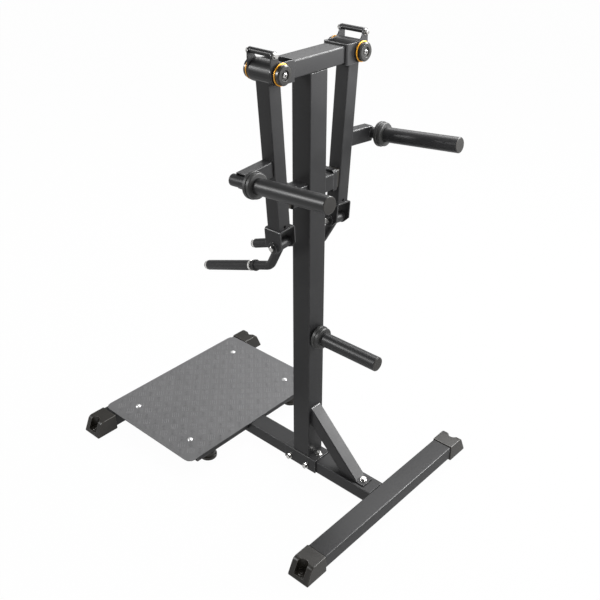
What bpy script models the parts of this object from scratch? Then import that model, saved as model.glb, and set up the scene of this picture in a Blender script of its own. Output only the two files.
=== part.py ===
"""Standing lateral raise machine, modelled in metres with +Z up.

The floor is Z = 0, the person stands on the platform at -X and the front is at +X.
Y = 0 is the plane of symmetry, the left arm is at -Y and the right arm at +Y.
"""
import math

import bmesh
import bpy
from mathutils import Matrix, Vector

# Sheet, tube and fit sizes
GAP = 0.0003
BEAM_WIDTH = 0.0762
BEAM_HEIGHT = 0.0508
BEAM_WALL = 0.003
BEAM_CORNER = 0.004
COLUMN_SIDE = 0.0762
ARM_SIDE = 0.0508
ARM_CORNER = 0.004
ARM_WALL = 0.003
BRACKET_SHEET = 0.005
PLATFORM_SHEET = 0.004
FLOOR_GAP = 0.0095
ROUND_STEPS = 24
SMALL_STEPS = 18
BORE_STEPS = 12
CORNER_STEPS = 3

# Base
CROSSBAR_SPACING = 1.099
CROSSBAR_LENGTH = 0.815
COLUMN_SETBACK = 0.362
CAP_LENGTH = 0.0945
CAP_OVERLAP = 0.045
CAP_SIDE_WALL = 0.005
CAP_TOP_WALL = 0.0032
CAP_DRAFT = math.radians(2.2)
CAP_NOSE_ANGLE = math.radians(22.5)
CAP_NOSE_FOOT = 0.006
CAP_SHOULDER = 0.019
CAP_EDGE = 0.003
CAP_NOTCH_WIDTH = 0.032
CAP_NOTCH_DEPTH = 0.0415
CAP_NOTCH_FLOOR = 0.017

# Platform
PLATFORM_LENGTH = 0.511
PLATFORM_CAP_SPACE = 0.0075
PLATFORM_CORNER = 0.027
PLATFORM_OVERHANG = 0.001
LIP_DEPTH = 0.019
LIP_SETBACK = 0.048
LIP_NOTCH = 0.115
MEMBER_HEIGHT = 0.030
MEMBER_WIDTH = 0.048
MEMBER_WALL = 0.0025
MEMBER_SETBACK = 0.037
RAIL_WIDTH = 0.038
RAIL_SETBACK = 0.0905
FOOT_DIAMETER = 0.065
FOOT_SETBACK = 0.1235

# Column, saddle and brace
TOP_BEAM_TOP = 1.536
TOP_BEAM_LENGTH = 0.2255
SADDLE_LENGTH = 0.151
SADDLE_DROP = 0.052
SADDLE_BEND = 0.008
BRACE_ANGLE = math.radians(44.8)
BRACE_TOP = 0.280
BRACE_PLATE_LENGTH = 0.105
BRACE_PLATE_REACH = 0.249

# Pivot heads
PIVOT_SPACING = 0.357
PIVOT_DROP = 0.023
BRACKET_WIDTH = 0.094
BRACKET_BEND = 0.007
BRACKET_RISE = 0.029
CHEEK_RADIUS = 0.033
STOP_ROD_OUT = 0.020
STOP_ROD_UP = 0.0565
STOP_ROD_DIAMETER = 0.017
EAR_DROP = 0.0035
EAR_RADIUS = 0.0125
EAR_FILLET = 0.023
HUB_DIAMETER = 0.067
HUB_LENGTH = 0.081
BUSH_WALL = 0.0035
SHAFT_DIAMETER = 0.025
RING_DIAMETER = 0.0635
RING_THICKNESS = 0.009
HEAD_CAP_DIAMETER = 0.0575
HEAD_CAP_DEPTH = 0.0125
HEAD_CAP_BEVEL = 0.004
HEAD_CAP_DISH = 0.0365

# Arms
ARM_LEAN = math.radians(4.53)
ARM_LENGTH = 0.4855
HUB_ARM_OVERLAP = 0.0135
OUTRIGGER_DROP = 0.282
OUTRIGGER_WIDTH = 0.038
OUTRIGGER_REACH = 0.1365
HORN_REACH = 0.1375
HORN_TILT = math.radians(5.4)
HORN_SPLAY = math.radians(2.1)
HORN_TIP = 0.344
PIN_DIAMETER = 0.0365
PIN_REAR = 0.0345
PIN_WALL = 0.005
COLLAR_BACK = 0.046
COLLAR_DIAMETER = 0.082
COLLAR_THICKNESS = 0.013
COLLAR_ROUNDING = 0.0045
FRONT_COLLAR_DIAMETER = 0.077
FRONT_COLLAR_THICKNESS = 0.014
SLEEVE_DIAMETER = 0.0495
END_CAP_DIAMETER = 0.0415
END_CAP_DEPTH = 0.0115
STORAGE_HEIGHT = 0.5795
STORAGE_TIP = 0.3005

# Lower stops
STOP_RISE = 0.0865
STOP_TUBE_WIDTH = 0.0575
STOP_TUBE_HEIGHT = 0.054
STOP_TUBE_END = 0.085
STOP_PLATE_WIDTH = 0.0585
STOP_PLATE_HEIGHT = 0.074
STOP_PLATE_THICKNESS = 0.0175
STOP_PLATE_CORNER = 0.010
BUMPER_WIDTH = 0.044
BUMPER_HEIGHT = 0.0635

# Handles
CLEVIS_LENGTH = 0.067
CLEVIS_WIDTH = 0.068
CLEVIS_OFFSET = 0.003
CLEVIS_DROP = 0.0635
CLEVIS_NOSE = 0.0225
CLEVIS_TAPER = math.radians(45)
CLEVIS_BEND = 0.008
CLEVIS_BOSS_DIAMETER = 0.038
CLEVIS_BOSS_THICKNESS = 0.0045
HANDLE_HUB_DIAMETER = 0.0335
HANDLE_BOLT_DIAMETER = 0.012
HANDLE_BOLT_HEAD = 0.018
HANDLE_BOLT_HEAD_DEPTH = 0.0085
HANDLE_TUBE_DIAMETER = 0.030
HANDLE_TUBE_WALL = 0.0025
STEM_ANGLE = math.radians(61.2)
STEM_LENGTH = 0.1125
ELBOW_RADIUS = 0.046
ELBOW_STEPS = 5
GRIP_ANGLE = math.radians(19.6)
FLANGE_DISTANCE = 0.070
FLANGE_DIAMETER = 0.0385
FLANGE_THICKNESS = 0.008
GRIP_START = 0.0905
GRIP_LENGTH = 0.2435
GRIP_DIAMETER = 0.0345
GRIP_COLLAR_DIAMETER = 0.037
GRIP_COLLAR_LENGTH = 0.008
GRIP_END_DIAMETER = 0.0315
HANDLE_LENGTH = 0.338

# Places worked out from the sizes above
COLUMN_X = CROSSBAR_SPACING / 2 - COLUMN_SETBACK
BEAM_TOP = FLOOR_GAP + BEAM_HEIGHT
BEAM_MIDDLE = FLOOR_GAP + BEAM_HEIGHT / 2
CAP_WIDTH = BEAM_WIDTH + 2 * CAP_SIDE_WALL
CAP_TOP = BEAM_TOP + CAP_TOP_WALL
CAP_SEAM = CROSSBAR_LENGTH / 2 - CAP_OVERLAP
COLUMN_FACE = COLUMN_SIDE / 2
SADDLE_TOP = BEAM_TOP + GAP + BRACKET_SHEET
TOP_BEAM_UNDERSIDE = TOP_BEAM_TOP - BEAM_HEIGHT
PIVOT_HEIGHT = TOP_BEAM_TOP - PIVOT_DROP
ARM_FACE = ARM_SIDE / 2
STOP_HEIGHT = PIVOT_HEIGHT - ARM_LENGTH * math.cos(ARM_LEAN) + STOP_RISE
BRACKET_INNER = BRACKET_WIDTH / 2 - BRACKET_SHEET
WEB_INNER = TOP_BEAM_LENGTH / 2 + GAP
PLATFORM_WIDTH = 2 * (CAP_SEAM - PLATFORM_CAP_SPACE)
MEMBER_REACH = PLATFORM_WIDTH / 2 - LIP_SETBACK
PLATFORM_REAR = -CROSSBAR_SPACING / 2 - BEAM_WIDTH / 2 - PLATFORM_OVERHANG
PLATFORM_FRONT = PLATFORM_REAR + PLATFORM_LENGTH
MEMBER_X = PLATFORM_FRONT - MEMBER_SETBACK
MEMBER_MIDDLE = BEAM_TOP - MEMBER_HEIGHT / 2
CLEVIS_TOP = ARM_LENGTH + GAP
CLEVIS_PIVOT = ARM_LENGTH + CLEVIS_DROP

# Turns that lay a shape drawn in XY and extruded along Z on another axis
ALONG_X = Matrix(((0, 0, 1), (1, 0, 0), (0, 1, 0))).to_4x4()
ALONG_Y = Matrix(((1, 0, 0), (0, 0, -1), (0, 1, 0))).to_4x4()
ALONG_Z = Matrix.Identity(4)


# Helpers

def clear_scene():
    for old in list(bpy.data.objects):
        bpy.data.objects.remove(old, do_unlink=True)


def make_material(name, colour, roughness, metallic=0.0):
    material = bpy.data.materials.new(name)
    material.use_nodes = True
    shader = material.node_tree.nodes["Principled BSDF"]
    shader.inputs["Base Color"].default_value = (*colour, 1.0)
    shader.inputs["Roughness"].default_value = roughness
    shader.inputs["Metallic"].default_value = metallic
    return material


def add_piece(name, mesh, material, matrix=None, parent=None):
    piece = bpy.data.objects.new(name, mesh)
    mesh.materials.clear()
    mesh.materials.append(material)
    bpy.context.scene.collection.objects.link(piece)
    piece.matrix_local = matrix or Matrix.Identity(4)
    piece.parent = parent
    return piece


def add_empty(name, matrix, parent=None):
    empty = bpy.data.objects.new(name, None)
    empty.empty_display_size = 0.05
    bpy.context.scene.collection.objects.link(empty)
    empty.parent = parent
    empty.matrix_local = matrix
    return empty


def arc(centre_x, centre_y, radius, start, end, steps):
    """Points on an arc, with the angles in degrees."""
    points = []
    for step in range(steps + 1):
        angle = math.radians(start + (end - start) * step / steps)
        points.append((centre_x + radius * math.cos(angle), centre_y + radius * math.sin(angle)))
    return points


def rounded_rectangle(width, height, radius):
    across = width / 2 - radius
    up = height / 2 - radius
    points = arc(across, up, radius, 0, 90, CORNER_STEPS)
    points += arc(-across, up, radius, 90, 180, CORNER_STEPS)
    points += arc(-across, -up, radius, 180, 270, CORNER_STEPS)
    points += arc(across, -up, radius, 270, 360, CORNER_STEPS)
    return points


def extruded(outlines, depth, matrix=None):
    """Mesh of flat outlines in XY, holes included, extruded evenly to both sides along Z."""
    curve = bpy.data.curves.new("outline", "CURVE")
    curve.dimensions = "2D"
    curve.fill_mode = "BOTH"
    curve.extrude = depth / 2
    for outline in outlines:
        spline = curve.splines.new("POLY")
        spline.points.add(len(outline) - 1)
        for point, (x, y) in zip(spline.points, outline):
            point.co = (x, y, 0, 1)
        spline.use_cyclic_u = True
    carrier = bpy.data.objects.new("outline", curve)
    mesh = bpy.data.meshes.new_from_object(carrier)
    bpy.data.objects.remove(carrier)
    bpy.data.curves.remove(curve)
    weld(mesh)
    mesh.transform(matrix or ALONG_Z)
    return mesh


def weld(mesh):
    work = bmesh.new()
    work.from_mesh(mesh)
    bmesh.ops.remove_doubles(work, verts=work.verts, dist=0.00001)
    bmesh.ops.recalc_face_normals(work, faces=work.faces)
    work.to_mesh(mesh)
    work.free()


def box_tube(width, height, corner, wall, length, matrix):
    inner_corner = max(corner - wall, 0.001)
    outer = rounded_rectangle(width, height, corner)
    inner = rounded_rectangle(width - 2 * wall, height - 2 * wall, inner_corner)
    return extruded([outer, inner], length, matrix)


def box(low, high):
    work = bmesh.new()
    bmesh.ops.create_cube(work, size=1)
    size = Vector(high) - Vector(low)
    bmesh.ops.scale(work, vec=size, verts=work.verts)
    bmesh.ops.translate(work, vec=(Vector(high) + Vector(low)) / 2, verts=work.verts)
    mesh = bpy.data.meshes.new("box")
    work.to_mesh(mesh)
    work.free()
    return mesh


def cylinder(radius, start, end, steps=ROUND_STEPS):
    """Cylinder between two points."""
    axis = Vector(end) - Vector(start)
    work = bmesh.new()
    bmesh.ops.create_cone(work, cap_ends=True, segments=steps, radius1=radius, radius2=radius,
                          depth=axis.length)
    turn = axis.to_track_quat("Z", "Y").to_matrix().to_4x4()
    middle = Matrix.Translation((Vector(start) + Vector(end)) / 2)
    bmesh.ops.transform(work, matrix=middle @ turn, verts=work.verts)
    mesh = bpy.data.meshes.new("cylinder")
    work.to_mesh(mesh)
    work.free()
    return mesh


def turned_piece(name, profile, closed, material, matrix=None, parent=None, steps=ROUND_STEPS):
    """A profile of (along X, radius) points, turned about the X axis by a Screw modifier."""
    mesh = bpy.data.meshes.new(name)
    points = [(along, 0, radius) for along, radius in profile]
    edges = [(index, index + 1) for index in range(len(points) - 1)]
    if closed:
        edges.append((len(points) - 1, 0))
    mesh.from_pydata(points, edges, [])
    piece = add_piece(name, mesh, material, matrix, parent)
    screw = piece.modifiers.new("turn", "SCREW")
    screw.axis = "X"
    screw.steps = steps
    screw.render_steps = steps
    screw.use_merge_vertices = True
    screw.merge_threshold = 0.00001
    screw.use_normal_flip = True
    return piece


def boolean(piece, mesh, operation):
    """Join, cut or intersect a piece with a mesh given in the piece's own coordinates."""
    cutter = bpy.data.objects.new(piece.name + "_" + operation.lower(), mesh)
    CUTTERS.objects.link(cutter)
    cutter.parent = piece
    cutter.hide_render = True
    cutter.display_type = "WIRE"
    modifier = piece.modifiers.new(operation.lower(), "BOOLEAN")
    modifier.operation = operation
    modifier.solver = "EXACT"
    modifier.object = cutter


def bevel(piece, width, segments=2, angle=40):
    modifier = piece.modifiers.new("rounded edges", "BEVEL")
    modifier.width = width
    modifier.segments = segments
    modifier.limit_method = "ANGLE"
    modifier.angle_limit = math.radians(angle)


def bent_channel(width, depth, sheet, bend):
    """Outline of a U section in XY: the web lies on Y = 0 and its two flanges run to +Y."""
    half = width / 2
    inner = max(bend - sheet, 0.0015)
    points = [(half, depth)]
    points += arc(half - bend, bend, bend, 0, -90, CORNER_STEPS)
    points += arc(-half + bend, bend, bend, -90, -180, CORNER_STEPS)
    points += [(-half, depth), (-half + sheet, depth)]
    points += arc(-half + sheet + inner, sheet + inner, inner, 180, 270, CORNER_STEPS)
    points += arc(half - sheet - inner, sheet + inner, inner, 270, 360, CORNER_STEPS)
    points.append((half - sheet, depth))
    return points


# Base

def build_base():
    crossbar_x = CROSSBAR_SPACING / 2
    for end, x in (("front", crossbar_x), ("rear", -crossbar_x)):
        place = Matrix.Translation((x, 0, BEAM_MIDDLE)) @ ALONG_Y
        bar = box_tube(BEAM_WIDTH, BEAM_HEIGHT, BEAM_CORNER, BEAM_WALL, CROSSBAR_LENGTH, ALONG_Z)
        add_piece(end + "_crossbar", bar, POWDER_COAT, place)
        for side, sign in SIDES:
            build_foot_cap("foot_cap_" + end + "_" + side, x, sign)
    length = CROSSBAR_SPACING - BEAM_WIDTH - 2 * GAP
    beam = box_tube(BEAM_WIDTH, BEAM_HEIGHT, BEAM_CORNER, BEAM_WALL, length, ALONG_Z)
    add_piece("centre_beam", beam, POWDER_COAT, Matrix.Translation((0, 0, BEAM_MIDDLE)) @ ALONG_X)


def build_foot_cap(name, x, sign):
    """Moulded rubber cap: a socket over the bar's end, a sloping nose and a screw notch."""
    shoulder_z = CAP_TOP - CAP_SHOULDER
    shoulder_y = CAP_LENGTH - (shoulder_z - CAP_NOSE_FOOT) * math.tan(CAP_NOSE_ANGLE)
    shoulder_y -= CAP_SHOULDER / math.cos(CAP_NOSE_ANGLE)
    outline = [(0, 0), (CAP_LENGTH, 0), (CAP_LENGTH, CAP_NOSE_FOOT)]
    outline += arc(shoulder_y, shoulder_z, CAP_SHOULDER, math.degrees(CAP_NOSE_ANGLE), 90, 6)
    outline.append((0, CAP_TOP))
    cap = extruded([outline], CAP_WIDTH, ALONG_X)
    for corner in cap.vertices:
        corner.co.x -= math.copysign(corner.co.z * math.tan(CAP_DRAFT), corner.co.x)
    turn = Matrix.Rotation(0 if sign > 0 else math.pi, 4, "Z")
    piece = add_piece(name, cap, RUBBER, Matrix.Translation((x, sign * CAP_SEAM, 0)) @ turn)
    bevel(piece, CAP_EDGE)
    socket_depth = CAP_OVERLAP + GAP
    socket = extruded([rounded_rectangle(BEAM_WIDTH + 2 * GAP, BEAM_HEIGHT + 2 * GAP, BEAM_CORNER)],
                      2 * socket_depth, Matrix.Translation((0, 0, BEAM_MIDDLE)) @ ALONG_Y)
    boolean(piece, socket, "DIFFERENCE")
    radius = CAP_NOTCH_WIDTH / 2
    notch = arc(0, CAP_LENGTH - CAP_NOTCH_DEPTH + radius, radius, 180, 360, 8)
    notch += [(radius, 2 * CAP_LENGTH), (-radius, 2 * CAP_LENGTH)]
    cut = Matrix.Translation((0, 0, CAP_NOTCH_FLOOR + CAP_TOP / 2))
    boolean(piece, extruded([notch], CAP_TOP, cut), "DIFFERENCE")


# Platform

def build_platform():
    middle = (PLATFORM_REAR + PLATFORM_FRONT) / 2
    top = BEAM_TOP + GAP + PLATFORM_SHEET
    plate = extruded([rounded_rectangle(PLATFORM_LENGTH, PLATFORM_WIDTH, PLATFORM_CORNER)], PLATFORM_SHEET)
    place = Matrix.Translation((middle, 0, top - PLATFORM_SHEET / 2))
    piece = add_piece("platform_plate", plate, TREAD_PLATE, place)
    front = PLATFORM_LENGTH / 2
    for side, sign in SIDES:
        ends = sorted((sign * LIP_NOTCH / 2, sign * MEMBER_REACH))
        low = (front - PLATFORM_SHEET, ends[0], PLATFORM_SHEET / 2 - LIP_DEPTH)
        boolean(piece, box(low, (front - 0.0002, ends[1], 0.0)), "UNION")
        build_platform_supports(side, sign)


def build_platform_supports(side, sign):
    start = BEAM_WIDTH / 2 + GAP
    member_length = MEMBER_REACH - start
    member = box_tube(MEMBER_WIDTH, MEMBER_HEIGHT, BEAM_CORNER / 2, MEMBER_WALL, member_length, ALONG_Z)
    place = Matrix.Translation((MEMBER_X, sign * (start + member_length / 2), MEMBER_MIDDLE)) @ ALONG_Y
    add_piece("platform_cross_member_" + side, member, POWDER_COAT, place)
    rail_rear = -CROSSBAR_SPACING / 2 + BEAM_WIDTH / 2 + GAP
    rail_front = MEMBER_X - MEMBER_WIDTH / 2 - GAP
    rail = box_tube(RAIL_WIDTH, MEMBER_HEIGHT, BEAM_CORNER / 2, MEMBER_WALL, rail_front - rail_rear, ALONG_Z)
    rail_y = sign * (PLATFORM_WIDTH / 2 - RAIL_SETBACK)
    place = Matrix.Translation(((rail_rear + rail_front) / 2, rail_y, MEMBER_MIDDLE)) @ ALONG_X
    add_piece("platform_rail_" + side, rail, POWDER_COAT, place)
    radius = FOOT_DIAMETER / 2
    top = BEAM_TOP - MEMBER_HEIGHT - GAP
    profile = [(0, 0), (0, radius - 0.003), (0.003, radius), (top - 0.006, radius - 0.002),
               (top, radius - 0.010), (top, 0)]
    foot_y = sign * (PLATFORM_WIDTH / 2 - FOOT_SETBACK)
    place = Matrix.Translation((MEMBER_X, foot_y, 0)) @ Matrix.Rotation(-math.pi / 2, 4, "Y")
    turned_piece("platform_foot_" + side, profile, False, RUBBER, place, steps=SMALL_STEPS)


# Column and what is welded to it

def build_column():
    bottom = SADDLE_TOP + GAP
    top = TOP_BEAM_UNDERSIDE - GAP
    column = box_tube(COLUMN_SIDE, COLUMN_SIDE, BEAM_CORNER, BEAM_WALL, top - bottom, ALONG_Z)
    add_piece("column", column, POWDER_COAT, Matrix.Translation((COLUMN_X, 0, (top + bottom) / 2)))
    section = bent_channel(BEAM_WIDTH + 2 * (BRACKET_SHEET + GAP), SADDLE_DROP + BRACKET_SHEET,
                           BRACKET_SHEET, SADDLE_BEND)
    upside_down = Matrix.Rotation(math.pi, 4, "X") @ ALONG_X
    saddle = extruded([section], SADDLE_LENGTH, upside_down)
    add_piece("column_saddle", saddle, POWDER_COAT, Matrix.Translation((COLUMN_X, 0, SADDLE_TOP)))
    place = Matrix.Translation((COLUMN_X, 0, TOP_BEAM_TOP - BEAM_HEIGHT / 2)) @ ALONG_Y
    beam = box_tube(BEAM_WIDTH, BEAM_HEIGHT, BEAM_CORNER, BEAM_WALL, TOP_BEAM_LENGTH, ALONG_Z)
    add_piece("top_beam", beam, POWDER_COAT, place)


def build_brace():
    """Square tube cut to the column and to its foot plate, which is welded under it."""
    drop = BRACE_TOP - BEAM_TOP
    run = drop / math.tan(BRACE_ANGLE)
    length = 2 * drop / math.sin(BRACE_ANGLE)
    inward = Vector((-math.sin(BRACE_ANGLE), 0, -math.cos(BRACE_ANGLE)))
    face = COLUMN_X + COLUMN_FACE
    middle = Vector((face + run / 2, 0, BEAM_TOP + drop / 2)) + inward * ARM_SIDE / 2
    turn = Matrix.Rotation(math.pi / 2 + BRACE_ANGLE, 4, "Y")
    tube = box_tube(ARM_SIDE, ARM_SIDE, ARM_CORNER, ARM_WALL, length, turn)
    piece = add_piece("diagonal_brace", tube, POWDER_COAT, Matrix.Translation(middle))
    reach = length
    column_side = face + GAP - middle.x
    boolean(piece, box((column_side - reach, -reach, -reach), (column_side, reach, reach)), "DIFFERENCE")
    floor = BEAM_TOP + GAP + BRACKET_SHEET / 2 - middle.z
    boolean(piece, box((-reach, -reach, floor - reach), (reach, reach, floor)), "DIFFERENCE")
    plate_end = face + BRACE_PLATE_REACH - middle.x
    low = (plate_end - BRACE_PLATE_LENGTH, -ARM_FACE, BEAM_TOP + GAP - middle.z)
    high = (plate_end, ARM_FACE, BEAM_TOP + GAP + BRACKET_SHEET - middle.z)
    boolean(piece, box(low, high), "UNION")


def build_lower_stop(side, sign):
    """Stub on the column's side with an end plate and the rubber bumper that the arm rests on."""
    start = COLUMN_FACE + GAP
    middle = (start + STOP_TUBE_END) / 2
    tube = box_tube(STOP_TUBE_WIDTH, STOP_TUBE_HEIGHT, ARM_CORNER, ARM_WALL, STOP_TUBE_END - start + 0.002,
                    Matrix.Translation((0, sign * (middle + 0.001), 0)) @ ALONG_Y)
    piece = add_piece("stop_arm_" + side, tube, POWDER_COAT, Matrix.Translation((COLUMN_X, 0, STOP_HEIGHT)))
    plate_middle = STOP_TUBE_END + STOP_PLATE_THICKNESS / 2
    outline = rounded_rectangle(STOP_PLATE_WIDTH, STOP_PLATE_HEIGHT, STOP_PLATE_CORNER)
    plate_place = Matrix.Translation((0, sign * plate_middle, 0)) @ ALONG_Y
    plate = extruded([outline], STOP_PLATE_THICKNESS, plate_place)
    boolean(piece, plate, "UNION")
    inner = STOP_TUBE_END + STOP_PLATE_THICKNESS + GAP
    half = BUMPER_HEIGHT / 2
    face = [arm_inner_face(STOP_HEIGHT + height) - GAP for height in (-half, half)]
    outline = [(sign * inner, -half), (sign * face[0], -half), (sign * face[1], half), (sign * inner, half)]
    bumper = add_piece("stop_bumper_" + side, extruded([outline], BUMPER_WIDTH, ALONG_X), RUBBER,
                       Matrix.Translation((COLUMN_X, 0, STOP_HEIGHT)))
    bevel(bumper, 0.004)


def arm_inner_face(height):
    """Distance from the middle plane to the resting arm's inner face at a height."""
    below = PIVOT_HEIGHT - height
    return PIVOT_SPACING / 2 - below * math.tan(ARM_LEAN) - ARM_FACE / math.cos(ARM_LEAN)


# Pivot heads

def build_pivot_head(side, sign):
    place = Matrix.Translation((COLUMN_X, sign * PIVOT_SPACING / 2, PIVOT_HEIGHT))
    build_pivot_bracket(side, sign, place)
    half = BRACKET_WIDTH / 2
    cap_end = half + GAP + RING_THICKNESS + GAP + HEAD_CAP_DEPTH
    shaft_end = cap_end - HEAD_CAP_DEPTH / 2
    shaft = cylinder(SHAFT_DIAMETER / 2, (-shaft_end, 0, 0), (shaft_end, 0, 0), SMALL_STEPS)
    add_piece("pivot_shaft_" + side, shaft, BRIGHT_STEEL, place)
    for end, turn in (("front", 0), ("rear", math.pi)):
        facing = place @ Matrix.Rotation(turn, 4, "Z")
        build_bearing_ring("bearing_ring_" + end + "_" + side, facing)
        build_head_cap("bearing_cap_" + end + "_" + side, facing)
    rod_y = sign * STOP_ROD_OUT
    rod_half = BRACKET_INNER - GAP
    rod_ends = ((-rod_half, rod_y, STOP_ROD_UP), (rod_half, rod_y, STOP_ROD_UP))
    rod = cylinder(STOP_ROD_DIAMETER / 2, *rod_ends, SMALL_STEPS)
    add_piece("upper_stop_rod_" + side, rod, POWDER_COAT, place)


def build_pivot_bracket(side, sign, place):
    """Plate bent to a U round the hub, with an ear on each cheek for the upper stop rod."""
    web = PIVOT_SPACING / 2 - WEB_INNER
    depth = web + STOP_ROD_OUT + EAR_RADIUS + 0.01
    section = bent_channel(BRACKET_WIDTH, depth, BRACKET_SHEET, BRACKET_BEND)
    height = 4 * STOP_ROD_UP
    turn = Matrix.Translation((0, -sign * web, 0)) @ Matrix.Scale(sign, 4, (0, 1, 0))
    bracket = extruded([section], height, turn)
    weld(bracket)
    piece = add_piece("pivot_bracket_" + side, bracket, POWDER_COAT, place)
    outline = arc(0, 0, CHEEK_RADIUS, -90, 0, 7)
    outline += arc(STOP_ROD_OUT, STOP_ROD_UP - EAR_DROP, EAR_RADIUS, 0, 180, 7)
    fillet_y = STOP_ROD_OUT - EAR_RADIUS - EAR_FILLET
    outline += arc(fillet_y, BRACKET_RISE + EAR_FILLET, EAR_FILLET, 0, -90, 5)
    outline += [(-web - 0.01, BRACKET_RISE), (-web - 0.01, -CHEEK_RADIUS)]
    mirrored = [(sign * y, z) for y, z in outline]
    boolean(piece, extruded([mirrored], 2 * BRACKET_WIDTH, ALONG_X), "INTERSECT")
    bore = SHAFT_DIAMETER / 2 + GAP
    boolean(piece, cylinder(bore, (-BRACKET_WIDTH, 0, 0), (BRACKET_WIDTH, 0, 0), SMALL_STEPS), "DIFFERENCE")


def build_bearing_ring(name, place):
    back = BRACKET_WIDTH / 2 + GAP
    front = back + RING_THICKNESS
    inner = SHAFT_DIAMETER / 2 + GAP
    outer = RING_DIAMETER / 2
    profile = [(back, inner), (back, outer), (front - 0.0015, outer), (front, outer - 0.0015), (front, inner)]
    turned_piece(name, profile, True, GOLD_RING, place)


def build_head_cap(name, place):
    """Cover with a bevelled, faceted rim and a dished middle for the bolt head."""
    back = BRACKET_WIDTH / 2 + 2 * GAP + RING_THICKNESS
    front = back + HEAD_CAP_DEPTH
    bore = SHAFT_DIAMETER / 2 + GAP
    outer = HEAD_CAP_DIAMETER / 2
    dish = HEAD_CAP_DISH / 2
    floor = front - HEAD_CAP_DEPTH / 2 + GAP
    profile = [(back, 0), (back, outer), (front - HEAD_CAP_BEVEL, outer), (front, outer - HEAD_CAP_BEVEL),
               (front, dish), (floor + 0.0015, dish - 0.002), (floor + 0.0015, 0)]
    piece = turned_piece(name, profile, False, BLACK_PLASTIC, place, steps=SMALL_STEPS)
    socket = cylinder(bore, (0, 0, 0), (floor, 0, 0), SMALL_STEPS)
    boolean(piece, socket, "DIFFERENCE")


# Arms

def build_arm(side, sign):
    """Arm in its own frame: the hub is the origin, -Z runs down the arm and sign * Y outboard."""
    pivot = Matrix.Translation((COLUMN_X, sign * PIVOT_SPACING / 2, PIVOT_HEIGHT))
    frame = add_empty("arm_pivot_" + side, pivot @ Matrix.Rotation(-sign * ARM_LEAN, 4, "X"))
    tube_top = HUB_DIAMETER / 2 - HUB_ARM_OVERLAP
    length = ARM_LENGTH - tube_top
    place = Matrix.Translation((0, 0, -tube_top - length / 2))
    arm = box_tube(ARM_SIDE, ARM_SIDE, ARM_CORNER, ARM_WALL, length, place)
    piece = add_piece("arm_" + side, arm, POWDER_COAT, parent=frame)
    half = HUB_LENGTH / 2
    boolean(piece, cylinder(HUB_DIAMETER / 2, (-half, 0, 0), (half, 0, 0)), "UNION")
    bore = SHAFT_DIAMETER / 2 + 2 * GAP + BUSH_WALL
    boolean(piece, cylinder(bore, (-HUB_LENGTH, 0, 0), (HUB_LENGTH, 0, 0), SMALL_STEPS), "DIFFERENCE")
    inner = SHAFT_DIAMETER / 2 + GAP
    outer = inner + BUSH_WALL
    profile = [(-half, inner), (-half, outer), (half, outer), (half, inner)]
    turned_piece("hub_bush_" + side, profile, True, BRONZE, parent=frame, steps=SMALL_STEPS)
    build_outrigger(side, sign, frame)
    inboard = Matrix.Translation((0, -sign * CLEVIS_OFFSET, 0))
    build_clevis(side, frame, inboard)
    build_handle(side, frame, inboard)


def build_outrigger(side, sign, frame):
    """Tube welded square to the arm, cut open where the plate pin crosses its end."""
    start = ARM_FACE + GAP
    length = OUTRIGGER_REACH - start
    place = Matrix.Translation((0, sign * (start + length / 2), -OUTRIGGER_DROP)) @ ALONG_Y
    tube = box_tube(OUTRIGGER_WIDTH, ARM_SIDE, ARM_CORNER, ARM_WALL, length, place)
    piece = add_piece("outrigger_" + side, tube, POWDER_COAT, parent=frame)
    splay = Matrix.Rotation(sign * HORN_SPLAY, 4, "Z")
    tilt = Matrix.Rotation(-HORN_TILT, 4, "Y")
    horn = Matrix.Translation((0, sign * HORN_REACH, -OUTRIGGER_DROP)) @ splay @ tilt
    pin_end = HORN_TIP - END_CAP_DEPTH
    pin = cylinder(PIN_DIAMETER / 2, (-PIN_REAR, 0, 0), (pin_end, 0, 0))
    pin.transform(horn)
    boolean(piece, pin, "UNION")
    hollow = cylinder(PIN_DIAMETER / 2 - PIN_WALL, (PIN_WALL - PIN_REAR, 0, 0), (HORN_TIP, 0, 0), SMALL_STEPS)
    hollow.transform(horn)
    boolean(piece, hollow, "DIFFERENCE")
    build_plate_horn("_" + side, horn, COLLAR_BACK, HORN_TIP, frame)


def rounded_rim(back, front, radius, steps):
    """Half outline of a disc between two places along its axis, with both its rims rounded."""
    inner = radius - COLLAR_ROUNDING
    points = arc(back + COLLAR_ROUNDING, inner, COLLAR_ROUNDING, 180, 90, steps)
    return points + arc(front - COLLAR_ROUNDING, inner, COLLAR_ROUNDING, 90, 0, steps)


def build_plate_horn(suffix, place, back, tip, parent):
    """Collar of two discs, sleeve and end plug on a pin along the horn's own X axis."""
    bore = PIN_DIAMETER / 2 + GAP
    step = back + COLLAR_THICKNESS
    front = step + FRONT_COLLAR_THICKNESS
    profile = [(back, bore)] + rounded_rim(back, step, COLLAR_DIAMETER / 2, 2)
    profile += rounded_rim(step, front, FRONT_COLLAR_DIAMETER / 2, 2)
    profile.append((front, bore))
    turned_piece("plate_collar" + suffix, profile, True, BLACK_PLASTIC, place, parent)
    sleeve = SLEEVE_DIAMETER / 2
    start = front + GAP
    profile = [(start, bore), (start, sleeve), (tip - 0.001, sleeve), (tip, sleeve - 0.001)]
    plug = END_CAP_DIAMETER / 2
    seat = tip - END_CAP_DEPTH + GAP
    profile += [(tip, plug + GAP), (seat, plug + GAP), (seat, bore)]
    turned_piece("plate_sleeve" + suffix, profile, True, SLEEVE_BLACK, place, parent)
    seat += GAP
    profile = [(seat, 0), (seat, plug), (tip - 0.001, plug), (tip + 0.001, plug - 0.003), (tip + 0.001, 0)]
    turned_piece("plate_end_cap" + suffix, profile, False, RUBBER, place, parent, steps=SMALL_STEPS)


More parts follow.
